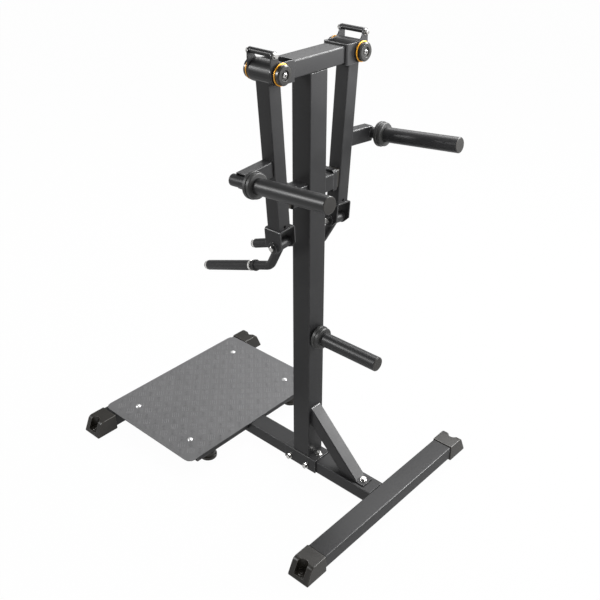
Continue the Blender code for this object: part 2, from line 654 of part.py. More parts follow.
def build_storage_horn():
    place = Matrix.Translation((COLUMN_X, 0, STORAGE_HEIGHT))
    pin_end = STORAGE_TIP - END_CAP_DEPTH
    pin = cylinder(PIN_DIAMETER / 2, (COLUMN_FACE + GAP, 0, 0), (pin_end, 0, 0))
    piece = add_piece("storage_pin", pin, POWDER_COAT, place)
    hollow = cylinder(PIN_DIAMETER / 2 - PIN_WALL, (0, 0, 0), (STORAGE_TIP, 0, 0), SMALL_STEPS)
    boolean(piece, hollow, "DIFFERENCE")
    build_plate_horn("_storage", place, COLLAR_BACK, STORAGE_TIP, None)


def build_clevis(side, frame, inboard):
    """Bent fork under the arm: its cheeks taper to a round nose with a boss for the handle's bolt."""
    section = bent_channel(CLEVIS_WIDTH, CLEVIS_DROP + 2 * CLEVIS_NOSE, BRACKET_SHEET, CLEVIS_BEND)
    upside_down = Matrix.Rotation(math.pi, 4, "X") @ ALONG_X
    fork = extruded([section], CLEVIS_LENGTH, Matrix.Translation((0, 0, -CLEVIS_TOP)) @ upside_down)
    piece = add_piece("handle_clevis_" + side, fork, POWDER_COAT, inboard, frame)
    half = CLEVIS_LENGTH / 2
    taper = math.degrees(CLEVIS_TAPER)
    shoulder = (half - CLEVIS_NOSE / math.sin(CLEVIS_TAPER)) * math.tan(CLEVIS_TAPER) - CLEVIS_PIVOT
    outline = arc(0, -CLEVIS_PIVOT, CLEVIS_NOSE, -90 - taper, taper - 90, 8)
    outline += [(half, shoulder), (half, 0), (-half, 0), (-half, shoulder)]
    boolean(piece, extruded([outline], 2 * CLEVIS_WIDTH, ALONG_Y), "INTERSECT")
    cheek = CLEVIS_WIDTH / 2
    boss_end = cheek + CLEVIS_BOSS_THICKNESS
    for outward in (-1, 1):
        start = (0, outward * (cheek - BRACKET_SHEET / 2), -CLEVIS_PIVOT)
        boss = cylinder(CLEVIS_BOSS_DIAMETER / 2, start, (0, outward * boss_end, -CLEVIS_PIVOT), SMALL_STEPS)
        boolean(piece, boss, "UNION")
    bore = HANDLE_BOLT_DIAMETER / 2 + GAP
    low = (0, -CLEVIS_WIDTH, -CLEVIS_PIVOT)
    boolean(piece, cylinder(bore, low, (0, CLEVIS_WIDTH, -CLEVIS_PIVOT), BORE_STEPS), "DIFFERENCE")
    turn = inboard @ Matrix.Translation((0, 0, -CLEVIS_PIVOT)) @ Matrix.Rotation(math.pi / 2, 4, "Z")
    end = boss_end + GAP
    shank = HANDLE_BOLT_DIAMETER / 2
    head = HANDLE_BOLT_HEAD / 2
    tip = end + HANDLE_BOLT_HEAD_DEPTH
    profile = [(-tip, 0), (-tip, head - 0.001), (-tip + 0.001, head), (-end, head), (-end, shank)]
    profile += [(end, shank), (end, head), (tip - 0.001, head), (tip, head - 0.001), (tip, 0)]
    turned_piece("handle_bolt_" + side, profile, False, BRIGHT_STEEL, turn, frame, steps=BORE_STEPS)


# Handles

def build_handle(side, frame, inboard):
    """Bent tube on the fork's bolt: a steep stem, an elbow and the grip."""
    pivot = add_empty("handle_pivot_" + side, inboard @ Matrix.Translation((0, 0, -CLEVIS_PIVOT)), frame)
    corner = Vector((-math.cos(STEM_ANGLE), 0, -math.sin(STEM_ANGLE))) * STEM_LENGTH
    along = Vector((-math.cos(GRIP_ANGLE), 0, -math.sin(GRIP_ANGLE)))
    start = corner.normalized() * HANDLE_HUB_DIAMETER / 4
    path = [start] + elbow_points(corner, along) + [corner + along * HANDLE_LENGTH]
    tube = round_bar(path, HANDLE_TUBE_DIAMETER / 2)
    piece = add_piece("handle_" + side, tube, POWDER_COAT, parent=pivot)
    half = CLEVIS_WIDTH / 2 - BRACKET_SHEET - 2 * GAP
    hub = cylinder(HANDLE_HUB_DIAMETER / 2, (0, -half, 0), (0, half, 0), SMALL_STEPS)
    boolean(piece, hub, "UNION")
    flange_start = corner + along * FLANGE_DISTANCE
    flange_end = flange_start + along * FLANGE_THICKNESS
    boolean(piece, cylinder(FLANGE_DIAMETER / 2, flange_start, flange_end, SMALL_STEPS), "UNION")
    hollow = path[:-1] + [corner + along * (HANDLE_LENGTH + HANDLE_TUBE_WALL)]
    boolean(piece, round_bar(hollow, HANDLE_TUBE_DIAMETER / 2 - HANDLE_TUBE_WALL), "DIFFERENCE")
    bore = HANDLE_BOLT_DIAMETER / 2 + GAP
    boolean(piece, cylinder(bore, (0, -CLEVIS_WIDTH, 0), (0, CLEVIS_WIDTH, 0), BORE_STEPS), "DIFFERENCE")
    build_grip(side, corner, along, pivot)


def elbow_points(corner, along):
    """Points of the arc that rounds the corner between stem and grip."""
    back = -corner.normalized()
    half_turn = (math.pi - back.angle(along)) / 2
    reach = ELBOW_RADIUS * math.tan(half_turn)
    bisector = (back + along).normalized()
    centre = corner + bisector * ELBOW_RADIUS / math.cos(half_turn)
    first = (corner + back * reach - centre).normalized()
    last = (corner + along * reach - centre).normalized()
    points = []
    for step in range(ELBOW_STEPS + 1):
        points.append(centre + first.slerp(last, step / ELBOW_STEPS) * ELBOW_RADIUS)
    return points


def round_bar(path, radius):
    curve = bpy.data.curves.new("bar", "CURVE")
    curve.dimensions = "3D"
    curve.bevel_depth = radius
    curve.bevel_resolution = 3
    curve.use_fill_caps = True
    spline = curve.splines.new("POLY")
    spline.points.add(len(path) - 1)
    for point, place in zip(spline.points, path):
        point.co = (*place, 1)
    carrier = bpy.data.objects.new("bar", curve)
    mesh = bpy.data.meshes.new_from_object(carrier)
    bpy.data.objects.remove(carrier)
    bpy.data.curves.remove(curve)
    weld(mesh)
    return mesh


def build_grip(side, corner, along, pivot):
    turn = Matrix.Rotation(math.pi - GRIP_ANGLE, 4, "Y")
    place = Matrix.Translation(corner) @ turn
    bore = HANDLE_TUBE_DIAMETER / 2 + GAP
    collar = GRIP_COLLAR_DIAMETER / 2
    outer = GRIP_DIAMETER / 2
    end = GRIP_START + GRIP_LENGTH
    inner_step = GRIP_START + GRIP_COLLAR_LENGTH
    outer_step = end - GRIP_COLLAR_LENGTH
    profile = [(GRIP_START, bore), (GRIP_START, collar), (inner_step, collar), (inner_step, outer)]
    ring = GRIP_END_DIAMETER / 2
    profile += [(outer_step, outer), (outer_step, ring), (end - 0.001, ring), (end, ring - 0.001)]
    profile.append((end, bore))
    turned_piece("grip_" + side, profile, True, GRIP_BLACK, place, pivot)


clear_scene()
CUTTERS = bpy.data.collections.new("cutters")
bpy.context.scene.collection.children.link(CUTTERS)
CUTTERS.hide_render = True
POWDER_COAT = make_material("powder_coat", (0.075, 0.075, 0.077), 0.55, 0.2)
TREAD_PLATE = make_material("tread_plate", (0.16, 0.16, 0.165), 0.5, 0.3)
RUBBER = make_material("rubber", (0.042, 0.040, 0.035), 0.75)
BLACK_PLASTIC = make_material("black_plastic", (0.02, 0.02, 0.02), 0.45)
SLEEVE_BLACK = make_material("sleeve_black", (0.03, 0.03, 0.03), 0.35, 0.2)
GRIP_BLACK = make_material("grip_black", (0.03, 0.03, 0.03), 0.5)
GOLD_RING = make_material("gold_ring", (0.80, 0.36, 0.03), 0.4, 0.5)
BRIGHT_STEEL = make_material("bright_steel", (0.70, 0.70, 0.70), 0.25, 1.0)
BRONZE = make_material("bronze", (0.45, 0.28, 0.10), 0.4, 1.0)
SIDES = (("left", -1), ("right", 1))

build_base()
build_platform()
build_column()
build_brace()
build_storage_horn()
for side_name, side_sign in SIDES:
    build_lower_stop(side_name, side_sign)
    build_pivot_head(side_name, side_sign)
    build_arm(side_name, side_sign)
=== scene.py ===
import math

import bmesh
import bpy
from mathutils import Matrix, Vector


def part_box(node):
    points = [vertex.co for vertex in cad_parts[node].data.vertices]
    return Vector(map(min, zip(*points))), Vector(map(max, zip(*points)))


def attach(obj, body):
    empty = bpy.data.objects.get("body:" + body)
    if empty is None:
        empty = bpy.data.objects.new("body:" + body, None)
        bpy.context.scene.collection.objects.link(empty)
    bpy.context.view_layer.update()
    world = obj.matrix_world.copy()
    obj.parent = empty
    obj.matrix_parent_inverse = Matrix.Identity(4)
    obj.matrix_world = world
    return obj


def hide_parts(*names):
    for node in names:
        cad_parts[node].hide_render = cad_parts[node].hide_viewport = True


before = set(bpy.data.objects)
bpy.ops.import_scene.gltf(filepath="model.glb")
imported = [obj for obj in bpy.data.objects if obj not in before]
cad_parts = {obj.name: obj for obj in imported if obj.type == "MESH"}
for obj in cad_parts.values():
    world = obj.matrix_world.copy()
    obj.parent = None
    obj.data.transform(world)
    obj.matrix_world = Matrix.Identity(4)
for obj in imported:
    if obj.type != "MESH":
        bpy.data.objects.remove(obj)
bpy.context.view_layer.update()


# Camera.
# It stands to the right of the machine's front and above its pivots, and looks down on the whole
# machine as the photograph does.

camera_data = bpy.data.cameras.new("camera")
camera_data.lens = 50.33
camera_data.sensor_width = 36
camera = bpy.data.objects.new("camera", camera_data)
camera.location = (1.81297, -1.84790, 2.12574)
camera.rotation_euler = (math.radians(60.01), 0, math.radians(42.0))
bpy.context.scene.collection.objects.link(camera)
bpy.context.scene.camera = camera


# Studio.
# A wide white floor under a white sky, and six soft panels: one for the top faces, one from the front,
# three that only glint on the brace and the long edges, and a small soft one close to the pivots.

def linear(level):
    """A 0 to 255 screen level as the linear value that Blender works in."""
    level /= 255
    if level <= 0.04045:
        return level / 12.92
    return ((level + 0.055) / 1.055) ** 2.4


def colour(red, green, blue):
    """A colour given by its three screen levels."""
    return (linear(red), linear(green), linear(blue), 1)


def seen_directly(tree, in_gloss=1.0):
    """A factor of 1 where the camera looks straight at a surface, and in_gloss in reflections."""
    path = tree.nodes.new("ShaderNodeLightPath")
    total = path.outputs["Is Camera Ray"]
    for ray, part in (("Is Glossy Ray", in_gloss), ("Is Transmission Ray", 1.0)):
        add = tree.nodes.new("ShaderNodeMath")
        add.operation = "MULTIPLY_ADD"
        add.use_clamp = True
        add.inputs[1].default_value = part
        tree.links.new(path.outputs[ray], add.inputs[0])
        tree.links.new(total, add.inputs[2])
        total = add.outputs[0]
    return total


bpy.context.scene.view_settings.view_transform = "Standard"

FLOOR_REACH = 40
FLOOR_SHADE = 0.82
SHADOW_SHARE = 0.02
floor_mesh = bmesh.new()
bmesh.ops.create_grid(floor_mesh, x_segments=2, y_segments=2, size=FLOOR_REACH)
floor_data = bpy.data.meshes.new("floor")
floor_mesh.to_mesh(floor_data)
floor_mesh.free()
floor = bpy.data.objects.new("floor", floor_data)
bpy.context.scene.collection.objects.link(floor)
floor_paint = bpy.data.materials.new("white_floor")
floor_paint.use_nodes = True
tree = floor_paint.node_tree
tree.nodes.clear()
output = tree.nodes.new("ShaderNodeOutputMaterial")
lit = tree.nodes.new("ShaderNodeBsdfDiffuse")
lit.inputs["Color"].default_value = (FLOOR_SHADE, FLOOR_SHADE, FLOOR_SHADE, 1)
white = tree.nodes.new("ShaderNodeEmission")
white.inputs["Strength"].default_value = 1.0
share = tree.nodes.new("ShaderNodeMath")
share.operation = "MULTIPLY"
share.inputs[1].default_value = 1 - SHADOW_SHARE
tree.links.new(seen_directly(tree), share.inputs[0])
blend = tree.nodes.new("ShaderNodeMixShader")
tree.links.new(share.outputs[0], blend.inputs["Fac"])
tree.links.new(lit.outputs["BSDF"], blend.inputs[1])
tree.links.new(white.outputs["Emission"], blend.inputs[2])
tree.links.new(blend.outputs["Shader"], output.inputs["Surface"])
floor_data.materials.append(floor_paint)

SKY_LIGHT = 0.43
SKY_IN_GLOSS = 0.05
world = bpy.data.worlds.new("white_sky")
world.use_nodes = True
bpy.context.scene.world = world
tree = world.node_tree
sky = tree.nodes["Background"]
sky.inputs["Color"].default_value = (1, 1, 1, 1)
level = tree.nodes.new("ShaderNodeMapRange")
level.inputs["To Min"].default_value = SKY_LIGHT
level.inputs["To Max"].default_value = 1.0
tree.links.new(seen_directly(tree, SKY_IN_GLOSS), level.inputs["Value"])
tree.links.new(level.outputs["Result"], sky.inputs["Strength"])


def light_panel(name, place, target, side, watts):
    """A square soft light that is turned to its target and that the camera doesn't see."""
    panel = bpy.data.lights.new(name, "AREA")
    panel.size = side
    panel.energy = watts
    lamp = bpy.data.objects.new(name, panel)
    lamp.location = place
    lamp.rotation_euler = (Vector(target) - Vector(place)).to_track_quat("-Z", "Y").to_euler()
    lamp.visible_camera = False
    bpy.context.scene.collection.objects.link(lamp)
    return lamp


light_panel("top_face_panel", (-1.1, 2.1, 3.7), (0.4, 0, 0), side=2.2, watts=100)
light_panel("front_panel", (2.5, 2.2, 1.9), (0.3, 0, 0.2), side=1.4, watts=60)
brace_panel = light_panel("brace_panel", (2.4, 2.3, 1.9), (0.3, 0, 0.2), side=1.2, watts=160)
front_edge_panel = light_panel("front_edge_panel", (0.6, 2.8, 3.6), (0.3, 0, 0.8), side=1.8, watts=300)
side_edge_panel = light_panel("side_edge_panel", (-2.2, -2.8, 2.56), (0.1, 0, 0.1), side=0.8, watts=160)
for glint in (brace_panel, front_edge_panel, side_edge_panel):
    glint.visible_diffuse = False
pivot_panel = light_panel("pivot_panel", (0.62, 0.12, 1.78), (0.2, 0, 1.35), side=0.3, watts=4)
pivot_panel.visible_glossy = False


# Floor bars.
# Two crossbars and a centre beam of 76 x 51 mm steel tube, welded to an H and powder coated dark grey.
# The coat has a fine grain, is glossier along the tubes' rounded edges and carries a painted highlight
# there.

def node_group(name, inputs, outputs):
    """A shader group with named number inputs and outputs, and its two end nodes."""
    group = bpy.data.node_groups.new(name, "ShaderNodeTree")
    for label, value in inputs.items():
        socket = group.interface.new_socket(name=label, in_out="INPUT", socket_type="NodeSocketFloat")
        socket.default_value = value
    for label in outputs:
        group.interface.new_socket(name=label, in_out="OUTPUT", socket_type="NodeSocketFloat")
    return group, group.nodes.new("NodeGroupInput"), group.nodes.new("NodeGroupOutput")


def noise(tree, scale, detail):
    """Noise on the piece's own coordinates, with its scale from a socket."""
    place = tree.nodes.new("ShaderNodeTexCoord")
    pattern = tree.nodes.new("ShaderNodeTexNoise")
    pattern.inputs["Detail"].default_value = detail
    tree.links.new(place.outputs["Object"], pattern.inputs["Vector"])
    tree.links.new(scale, pattern.inputs["Scale"])
    return pattern.outputs["Fac"]


def mapped(tree, value, low, high, to_low, to_high):
    """The value's range from low to high, stretched to a new range."""
    step = tree.nodes.new("ShaderNodeMapRange")
    for label, number in zip(("From Min", "From Max", "To Min", "To Max"), (low, high, to_low, to_high)):
        step.inputs[label].default_value = number
    tree.links.new(value, step.inputs["Value"])
    return step.outputs["Result"]


def multiplied(tree, first, second):
    """The product of two sockets."""
    step = tree.nodes.new("ShaderNodeMath")
    step.operation = "MULTIPLY"
    tree.links.new(first, step.inputs[0])
    tree.links.new(second, step.inputs[1])
    return step.outputs[0]


# Grain: the fine height of a coat or a mould's texture, and a broad cloudy tone.
FINE_SHARE = 0.45
CLOUD_CONTRAST = (0.3, 0.7)
CLOUD_TONE = (0.05, 0.5)
surface_grain, start, end = node_group("surface_grain", {"Grain Scale": 900, "Cloud Scale": 9},
                                       ("Height", "Tone"))
fine = noise(surface_grain, start.outputs["Grain Scale"], 3)
cloud = noise(surface_grain, start.outputs["Cloud Scale"], 4)
average = surface_grain.nodes.new("ShaderNodeMath")
average.operation = "MULTIPLY_ADD"
average.inputs[1].default_value = FINE_SHARE
surface_grain.links.new(fine, average.inputs[0])
cloudy = mapped(surface_grain, cloud, *CLOUD_CONTRAST, *CLOUD_TONE)
surface_grain.links.new(cloudy, average.inputs[2])
surface_grain.links.new(fine, end.inputs["Height"])
surface_grain.links.new(average.outputs[0], end.inputs["Tone"])

# Edge: 1 where a rounded normal parts from the true one, broken into patches, for a painted edge highlight.
EDGE_BEGINS = 0.998
EDGE_IS_FULL = 0.93
PATCH_CONTRAST = (0.35, 0.65)
LEAST_PATCH_SHARE = 0.55
edge_highlight_mask, start, end = node_group("edge_highlight_mask", {"Width": 0.002, "Patch Scale": 40}, ("Edge",))
rounded = edge_highlight_mask.nodes.new("ShaderNodeBevel")
rounded.samples = 6
edge_highlight_mask.links.new(start.outputs["Width"], rounded.inputs["Radius"])
true_face = edge_highlight_mask.nodes.new("ShaderNodeNewGeometry")
agree = edge_highlight_mask.nodes.new("ShaderNodeVectorMath")
agree.operation = "DOT_PRODUCT"
edge_highlight_mask.links.new(rounded.outputs["Normal"], agree.inputs[0])
edge_highlight_mask.links.new(true_face.outputs["True Normal"], agree.inputs[1])
near_edge = mapped(edge_highlight_mask, agree.outputs["Value"], EDGE_BEGINS, EDGE_IS_FULL, 0, 1)
patches = noise(edge_highlight_mask, start.outputs["Patch Scale"], 3)
patches = mapped(edge_highlight_mask, patches, *PATCH_CONTRAST, LEAST_PATCH_SHARE, 1)
edge_highlight_mask.links.new(multiplied(edge_highlight_mask, near_edge, patches), end.inputs["Edge"])

EDGE_GLOSS = 0.75
EDGE_GLOSS_ROUGHNESS = 0.22
ROUGHNESS_SPREAD = 0.05


def surface_finish(name, dark, light, edge, roughness, grain_size, grain_depth,
                   metallic=0.0, specular=0.5, edge_width=0.002, cloud_scale=9):
    """A finish of two tones with grain in its height, and a painted highlight tone and gloss on its edges.
    """
    material = bpy.data.materials.new(name)
    material.use_nodes = True
    tree = material.node_tree
    shader = tree.nodes["Principled BSDF"]
    shader.inputs["Metallic"].default_value = metallic
    shader.inputs["Specular IOR Level"].default_value = specular
    shader.inputs["Coat Roughness"].default_value = EDGE_GLOSS_ROUGHNESS
    grain = tree.nodes.new("ShaderNodeGroup")
    grain.node_tree = surface_grain
    grain.inputs["Grain Scale"].default_value = 1 / grain_size
    grain.inputs["Cloud Scale"].default_value = cloud_scale
    highlight_mask = tree.nodes.new("ShaderNodeGroup")
    highlight_mask.node_tree = edge_highlight_mask
    highlight_mask.inputs["Width"].default_value = edge_width
    tones = tree.nodes.new("ShaderNodeMix")
    tones.data_type = "RGBA"
    tones.inputs["A"].default_value = colour(*dark)
    tones.inputs["B"].default_value = colour(*light)
    tree.links.new(grain.outputs["Tone"], tones.inputs["Factor"])
    # The third tone, laid on the edges by the mask, is a painted highlight.
    edges = tree.nodes.new("ShaderNodeMix")
    edges.data_type = "RGBA"
    edges.inputs["B"].default_value = colour(*edge)
    tree.links.new(highlight_mask.outputs["Edge"], edges.inputs["Factor"])
    tree.links.new(tones.outputs["Result"], edges.inputs["A"])
    tree.links.new(edges.outputs["Result"], shader.inputs["Base Color"])
    gloss = mapped(tree, highlight_mask.outputs["Edge"], 0, 1, 0, EDGE_GLOSS)
    tree.links.new(gloss, shader.inputs["Coat Weight"])
    rough = mapped(tree, grain.outputs["Tone"], 0, 1, roughness - ROUGHNESS_SPREAD,
                   roughness + ROUGHNESS_SPREAD)
    tree.links.new(rough, shader.inputs["Roughness"])
    bump = tree.nodes.new("ShaderNodeBump")
    bump.inputs["Distance"].default_value = grain_depth
    tree.links.new(grain.outputs["Height"], bump.inputs["Height"])
    tree.links.new(bump.outputs["Normal"], shader.inputs["Normal"])
    return material


POWDER_COAT = surface_finish("powder_coat", (39, 39, 40), (50, 50, 51), (84, 84, 85), roughness=0.42,
                             grain_size=0.0011, grain_depth=0.00004, specular=0.18, edge_width=0.003)
MERGE_DISTANCE = 0.00001
FLAT_ANGLE = math.radians(0.5)
SHARP_ANGLE = math.radians(38)
SHADING_ANGLE = math.radians(42)


def bevelled(mesh, edges, offset, segments=2, clamp=False):
    """Rounds the edges, and returns what the rounding made."""
    return bmesh.ops.bevel(mesh, geom=edges, offset=offset, offset_type="OFFSET", segments=segments,
                           profile=0.5, affect="EDGES", material=-1, clamp_overlap=clamp)


def softened(node, edge=0.0008):
    """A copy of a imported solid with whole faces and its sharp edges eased."""
    mesh = bmesh.new()
    mesh.from_mesh(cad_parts[node].data)
    bmesh.ops.remove_doubles(mesh, verts=mesh.verts, dist=MERGE_DISTANCE)
    bmesh.ops.dissolve_limit(mesh, angle_limit=FLAT_ANGLE, verts=mesh.verts, edges=mesh.edges)
    corners = [line for line in mesh.edges if line.is_manifold and line.calc_face_angle() > SHARP_ANGLE]
    bevelled(mesh, corners, edge, clamp=True)
    return mesh


def fitted(mesh, name, finish, slot, body, *stands_for):
    """Makes the mesh a piece that rides on its body and stands for the solids named."""
    data = bpy.data.meshes.new(name)
    mesh.to_mesh(data)
    mesh.free()
    data.materials.append(finish)
    data.shade_smooth()
    data.set_sharp_from_angle(angle=SHADING_ANGLE)
    piece = bpy.data.objects.new(name, data)
    bpy.context.scene.collection.objects.link(piece)
    even = piece.modifiers.new("even shading", "WEIGHTED_NORMAL")
    even.keep_sharp = True
    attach(piece, body)
    if stands_for:
        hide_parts(*stands_for)


for bar in ("front_crossbar", "rear_crossbar", "centre_beam"):
    fitted(softened(bar), bar + "_coated", POWDER_COAT, "powder_coat", "frame", bar)


# Foot caps.
# Moulded rubber boots, pushed over the crossbars' ends, with drafted sides and a notch in the nose for the
# screw on its low boss that holds them down. A thin near-black band around each bar at the boot's mouth is
# painted shade in that seam.

RUBBER = surface_finish("moulded_rubber", (34, 32, 28), (43, 40, 35), (86, 82, 75), roughness=0.38,
                        grain_size=0.0016, grain_depth=0.00003, specular=0.3, edge_width=0.003,
                        cloud_scale=22)
SCREW_GREY = surface_finish("screw_grey", (66, 64, 60), (84, 82, 78), (110, 108, 104), roughness=0.45,
                            grain_size=0.003, grain_depth=0.00002, metallic=0.3, edge_width=0.0004)
SHADE_BAND_BLACK = surface_finish("painted_shade_black", (10, 10, 10), (16, 16, 16), (18, 18, 18), roughness=0.8,
                            grain_size=0.002, grain_depth=0.00002, specular=0.05, edge_width=0.0002)
SIDES = {"left": -1, "right": 1}
UP = (0, 0, 1)
Z_TO_X = Matrix.Rotation(math.pi / 2, 4, "Y")
BOOT_EDGE = 0.0012
NOTCH_FLOOR = 0.017
NOTCH_REACH = 0.018
NOTCH_WIDENING = 1.25
SHADE_BAND_HEIGHT = 0.0009
SHADE_BAND_WIDTH = 0.0018
SHADE_BAND_CORNER = 0.0042
BOSS_RADIUS = 0.012
BOSS_TOP_RADIUS = 0.0105
BOSS_RIM = 0.0012
BOSS_HEIGHT = 0.0026
CAP_SCREW_Y = 0.435
CAP_SCREW_RADIUS = 0.0042
CAP_SCREW_HEIGHT = 0.0018
DOME_ANGLE = math.radians(60)
SOCKET_SHARE = 0.45
SOCKET_DEPTH = 0.6


def turned(profile, place=Matrix(), steps=72, mesh=None):
    """A line of (along, out) points spun about the X axis in its place, added to a mesh if one is given."""
    mesh = mesh or bmesh.new()
    others = set(mesh.verts)
    points = [mesh.verts.new((along, 0, out)) for along, out in profile]
    lines = [mesh.edges.new(pair) for pair in zip(points, points[1:])]
    bmesh.ops.spin(mesh, geom=points + lines, cent=(0, 0, 0), axis=(1, 0, 0), angle=2 * math.pi,
                   steps=steps, use_merge=True)
    spun = [corner for corner in mesh.verts if corner not in others]
    bmesh.ops.remove_doubles(mesh, verts=spun, dist=MERGE_DISTANCE)
    spun = [corner for corner in mesh.verts if corner not in others]
    faces = list({face for corner in spun for face in corner.link_faces})
    bmesh.ops.recalc_face_normals(mesh, faces=faces)
    bmesh.ops.transform(mesh, matrix=place, verts=spun)
    return mesh


def facing(where, direction):
    """A place whose X axis points along the direction."""
    turn = Vector(direction).to_track_quat("X", "Z").to_matrix().to_4x4()
    return Matrix.Translation(where) @ turn


def edges_of(corners):
    """The edges that meet the corners, each once."""
    return list({line for corner in corners for line in corner.link_edges})


def extruded(mesh, loop):
    """Extrudes a ring of edges in place, and returns the new ring's corners and edges."""
    grown = bmesh.ops.extrude_edge_only(mesh, edges=loop)["geom"]
    corners = [part for part in grown if isinstance(part, bmesh.types.BMVert)]
    lines = [part for part in grown if isinstance(part, bmesh.types.BMEdge)]
    return corners, lines


def closed(mesh):
    """Fills the mesh's open ends and turns its faces outward."""
    bmesh.ops.holes_fill(mesh, edges=mesh.edges, sides=0)
    bmesh.ops.recalc_face_normals(mesh, faces=mesh.faces)


def socket_screw(place, radius, height, steps=36, rounds=6):
    """A button head screw, its X axis out of the surface, with a hexagon socket."""
    mesh = bmesh.new()
    socket = radius * SOCKET_SHARE
    loop = edges_of(bmesh.ops.create_circle(mesh, segments=steps, radius=radius)["verts"])
    for step in range(1, rounds + 1):
        turn = DOME_ANGLE * step / rounds
        ring, loop = extruded(mesh, loop)
        reach = socket + (radius - socket) * math.cos(turn)
        lift = height * math.sin(turn) / math.sin(DOME_ANGLE)
        for corner in ring:
            flat = corner.co.xy.normalized() * reach
            corner.co = (flat.x, flat.y, lift)
    top = Matrix.Translation((0, 0, height))
    inner = edges_of(bmesh.ops.create_circle(mesh, segments=6, radius=socket, matrix=top)["verts"])
    bmesh.ops.bridge_loops(mesh, edges=loop + inner)
    floor_ring = extruded(mesh, inner)[0]
    bmesh.ops.translate(mesh, verts=floor_ring, vec=(0, 0, -SOCKET_DEPTH * height))
    closed(mesh)
    bmesh.ops.transform(mesh, matrix=place @ Z_TO_X, verts=mesh.verts)
    return mesh


def block(centre, size):
    """A box by its centre and its three side lengths."""
    mesh = bmesh.new()
    bmesh.ops.create_cube(mesh, size=1, matrix=Matrix.Translation(centre) @ Matrix.Diagonal((*size, 1)))
    return mesh


def widened_boot(cap, middle):
    """The cap's own solid, with the walls of its notch moved apart to the photographed width."""
    boot = softened(cap, BOOT_EDGE)
    for corner in boot.verts:
        across = corner.co.x - middle
        if abs(across) < NOTCH_REACH:
            corner.co.x = middle + across * NOTCH_WIDENING
    return boot


def painted_shade_band(bar_low, bar_high, y):
    """A thin band of painted shade around the bar, with its four long edges rounded."""
    centre = ((bar_low[0] + bar_high[0]) / 2, y, (bar_low[2] + bar_high[2]) / 2)
    band = block(centre, (bar_high[0] - bar_low[0] + 2 * SHADE_BAND_HEIGHT, SHADE_BAND_WIDTH,
                         bar_high[2] - bar_low[2] + 2 * SHADE_BAND_HEIGHT))
    corners = [line for line in band.edges
               if abs(line.verts[0].co.y - line.verts[1].co.y) > SHADE_BAND_WIDTH / 2]
    bevelled(band, corners, SHADE_BAND_CORNER, segments=4)
    return band


for end in ("front", "rear"):
    bar_low, bar_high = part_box(end + "_crossbar")
    middle = (bar_low[0] + bar_high[0]) / 2
    for side, sign in SIDES.items():
        label = end + "_" + side
        cap = "foot_cap_" + label
        fitted(widened_boot(cap, middle), cap + "_moulded", RUBBER, "rubber", "frame", cap)
        cap_low, cap_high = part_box(cap)
        mouth = min(abs(cap_low[1]), abs(cap_high[1])) - SHADE_BAND_WIDTH / 2
        # The band's near-black, matt finish paints the shade in the seam between boot and bar.
        fitted(painted_shade_band(bar_low, bar_high, sign * mouth), "foot_cap_shade_band_" + label, SHADE_BAND_BLACK, "rubber",
               "frame")
        seat = facing((middle, sign * CAP_SCREW_Y, NOTCH_FLOOR), UP)
        boss = [(0, 0), (0, BOSS_RADIUS), (BOSS_RIM, BOSS_RADIUS), (BOSS_HEIGHT, BOSS_TOP_RADIUS),
                (BOSS_HEIGHT, 0)]
        fitted(turned(boss, seat, steps=48), "foot_cap_boss_" + label, RUBBER, "rubber", "frame")
        seat = seat @ Matrix.Translation((BOSS_HEIGHT, 0, 0))
        fitted(socket_screw(seat, CAP_SCREW_RADIUS, CAP_SCREW_HEIGHT), "foot_cap_screw_" + label,
               SCREW_GREY, "bright_steel", "frame")


# Platform.
# A 4 mm steel tread plate with rounded corners, rolled with groups of short bars at 45 degrees to its
# edges and coated a lighter grey. Its front is folded down, and a thin dark sheet on the fold's face
# paints its shade.

# Its lighter edge tone paints highlights along the tread bars' edges.
TREAD_COAT = surface_finish("tread_coat", (107, 107, 108), (118, 118, 119), (138, 138, 139), roughness=0.5,
                            grain_size=0.0011, grain_depth=0.0001, specular=0.2, edge_width=0.001)
PLATE_EDGE = 0.0006
TREAD_PITCH = 0.052
TREAD_BARS = 4
TREAD_BAR_LENGTH = 0.031
TREAD_BAR_WIDTH = 0.0042
TREAD_BAR_SPACING = 0.0078
TREAD_BAR_HEIGHT = 0.0011
TREAD_BAR_SUNK = 0.0001
TREAD_MARGIN = 0.021
TREAD_SLACK = 0.001
TREAD_CORNER = 0.045
STRIP_NEAR = 0.0575
STRIP_FAR = 0.315
STRIP_THICKNESS = 0.0008
STRIP_SUNK = 0.0002
STRIP_DROP = 0.0009


def tread_bar(mesh, place):
    """A low raised bar that narrows towards both ends, sunk a little into the plate."""
    sole = bmesh.ops.create_circle(mesh, cap_ends=True, segments=10, radius=0.5)
    face = sole["verts"][0].link_faces[0]
    crown = bmesh.ops.inset_individual(mesh, faces=[face], thickness=0.14)["faces"]
    verts = list({corner for ring in crown for corner in ring.verts} | set(face.verts))
    for corner in face.verts:
        corner.co.z = 1
    size = Matrix.Diagonal((TREAD_BAR_LENGTH, TREAD_BAR_WIDTH, TREAD_BAR_HEIGHT, 1))
    bmesh.ops.transform(mesh, matrix=place @ size, verts=verts)


def tread_groups(low, high):
    """The places of the groups: two grids half a pitch apart, whose bars lie square to each other."""
    rows = int((high[0] - low[0]) / TREAD_PITCH)
    columns = int((high[1] - low[1]) / TREAD_PITCH)
    inset = TREAD_MARGIN - TREAD_SLACK
    for turn, shift in ((45, 0.0), (-45, 0.5)):
        for row in range(rows + 1):
            for column in range(columns + 1):
                x = low[0] + (row + shift) * TREAD_PITCH + TREAD_MARGIN
                y = low[1] + (column + shift) * TREAD_PITCH + TREAD_MARGIN
                from_corner = min(x - low[0], high[0] - x) + min(y - low[1], high[1] - y)
                if x < high[0] - inset and y < high[1] - inset and from_corner >= TREAD_CORNER:
                    seat = Matrix.Translation((x, y, high[2] - TREAD_BAR_SUNK))
                    yield seat @ Matrix.Rotation(math.radians(turn), 4, "Z")


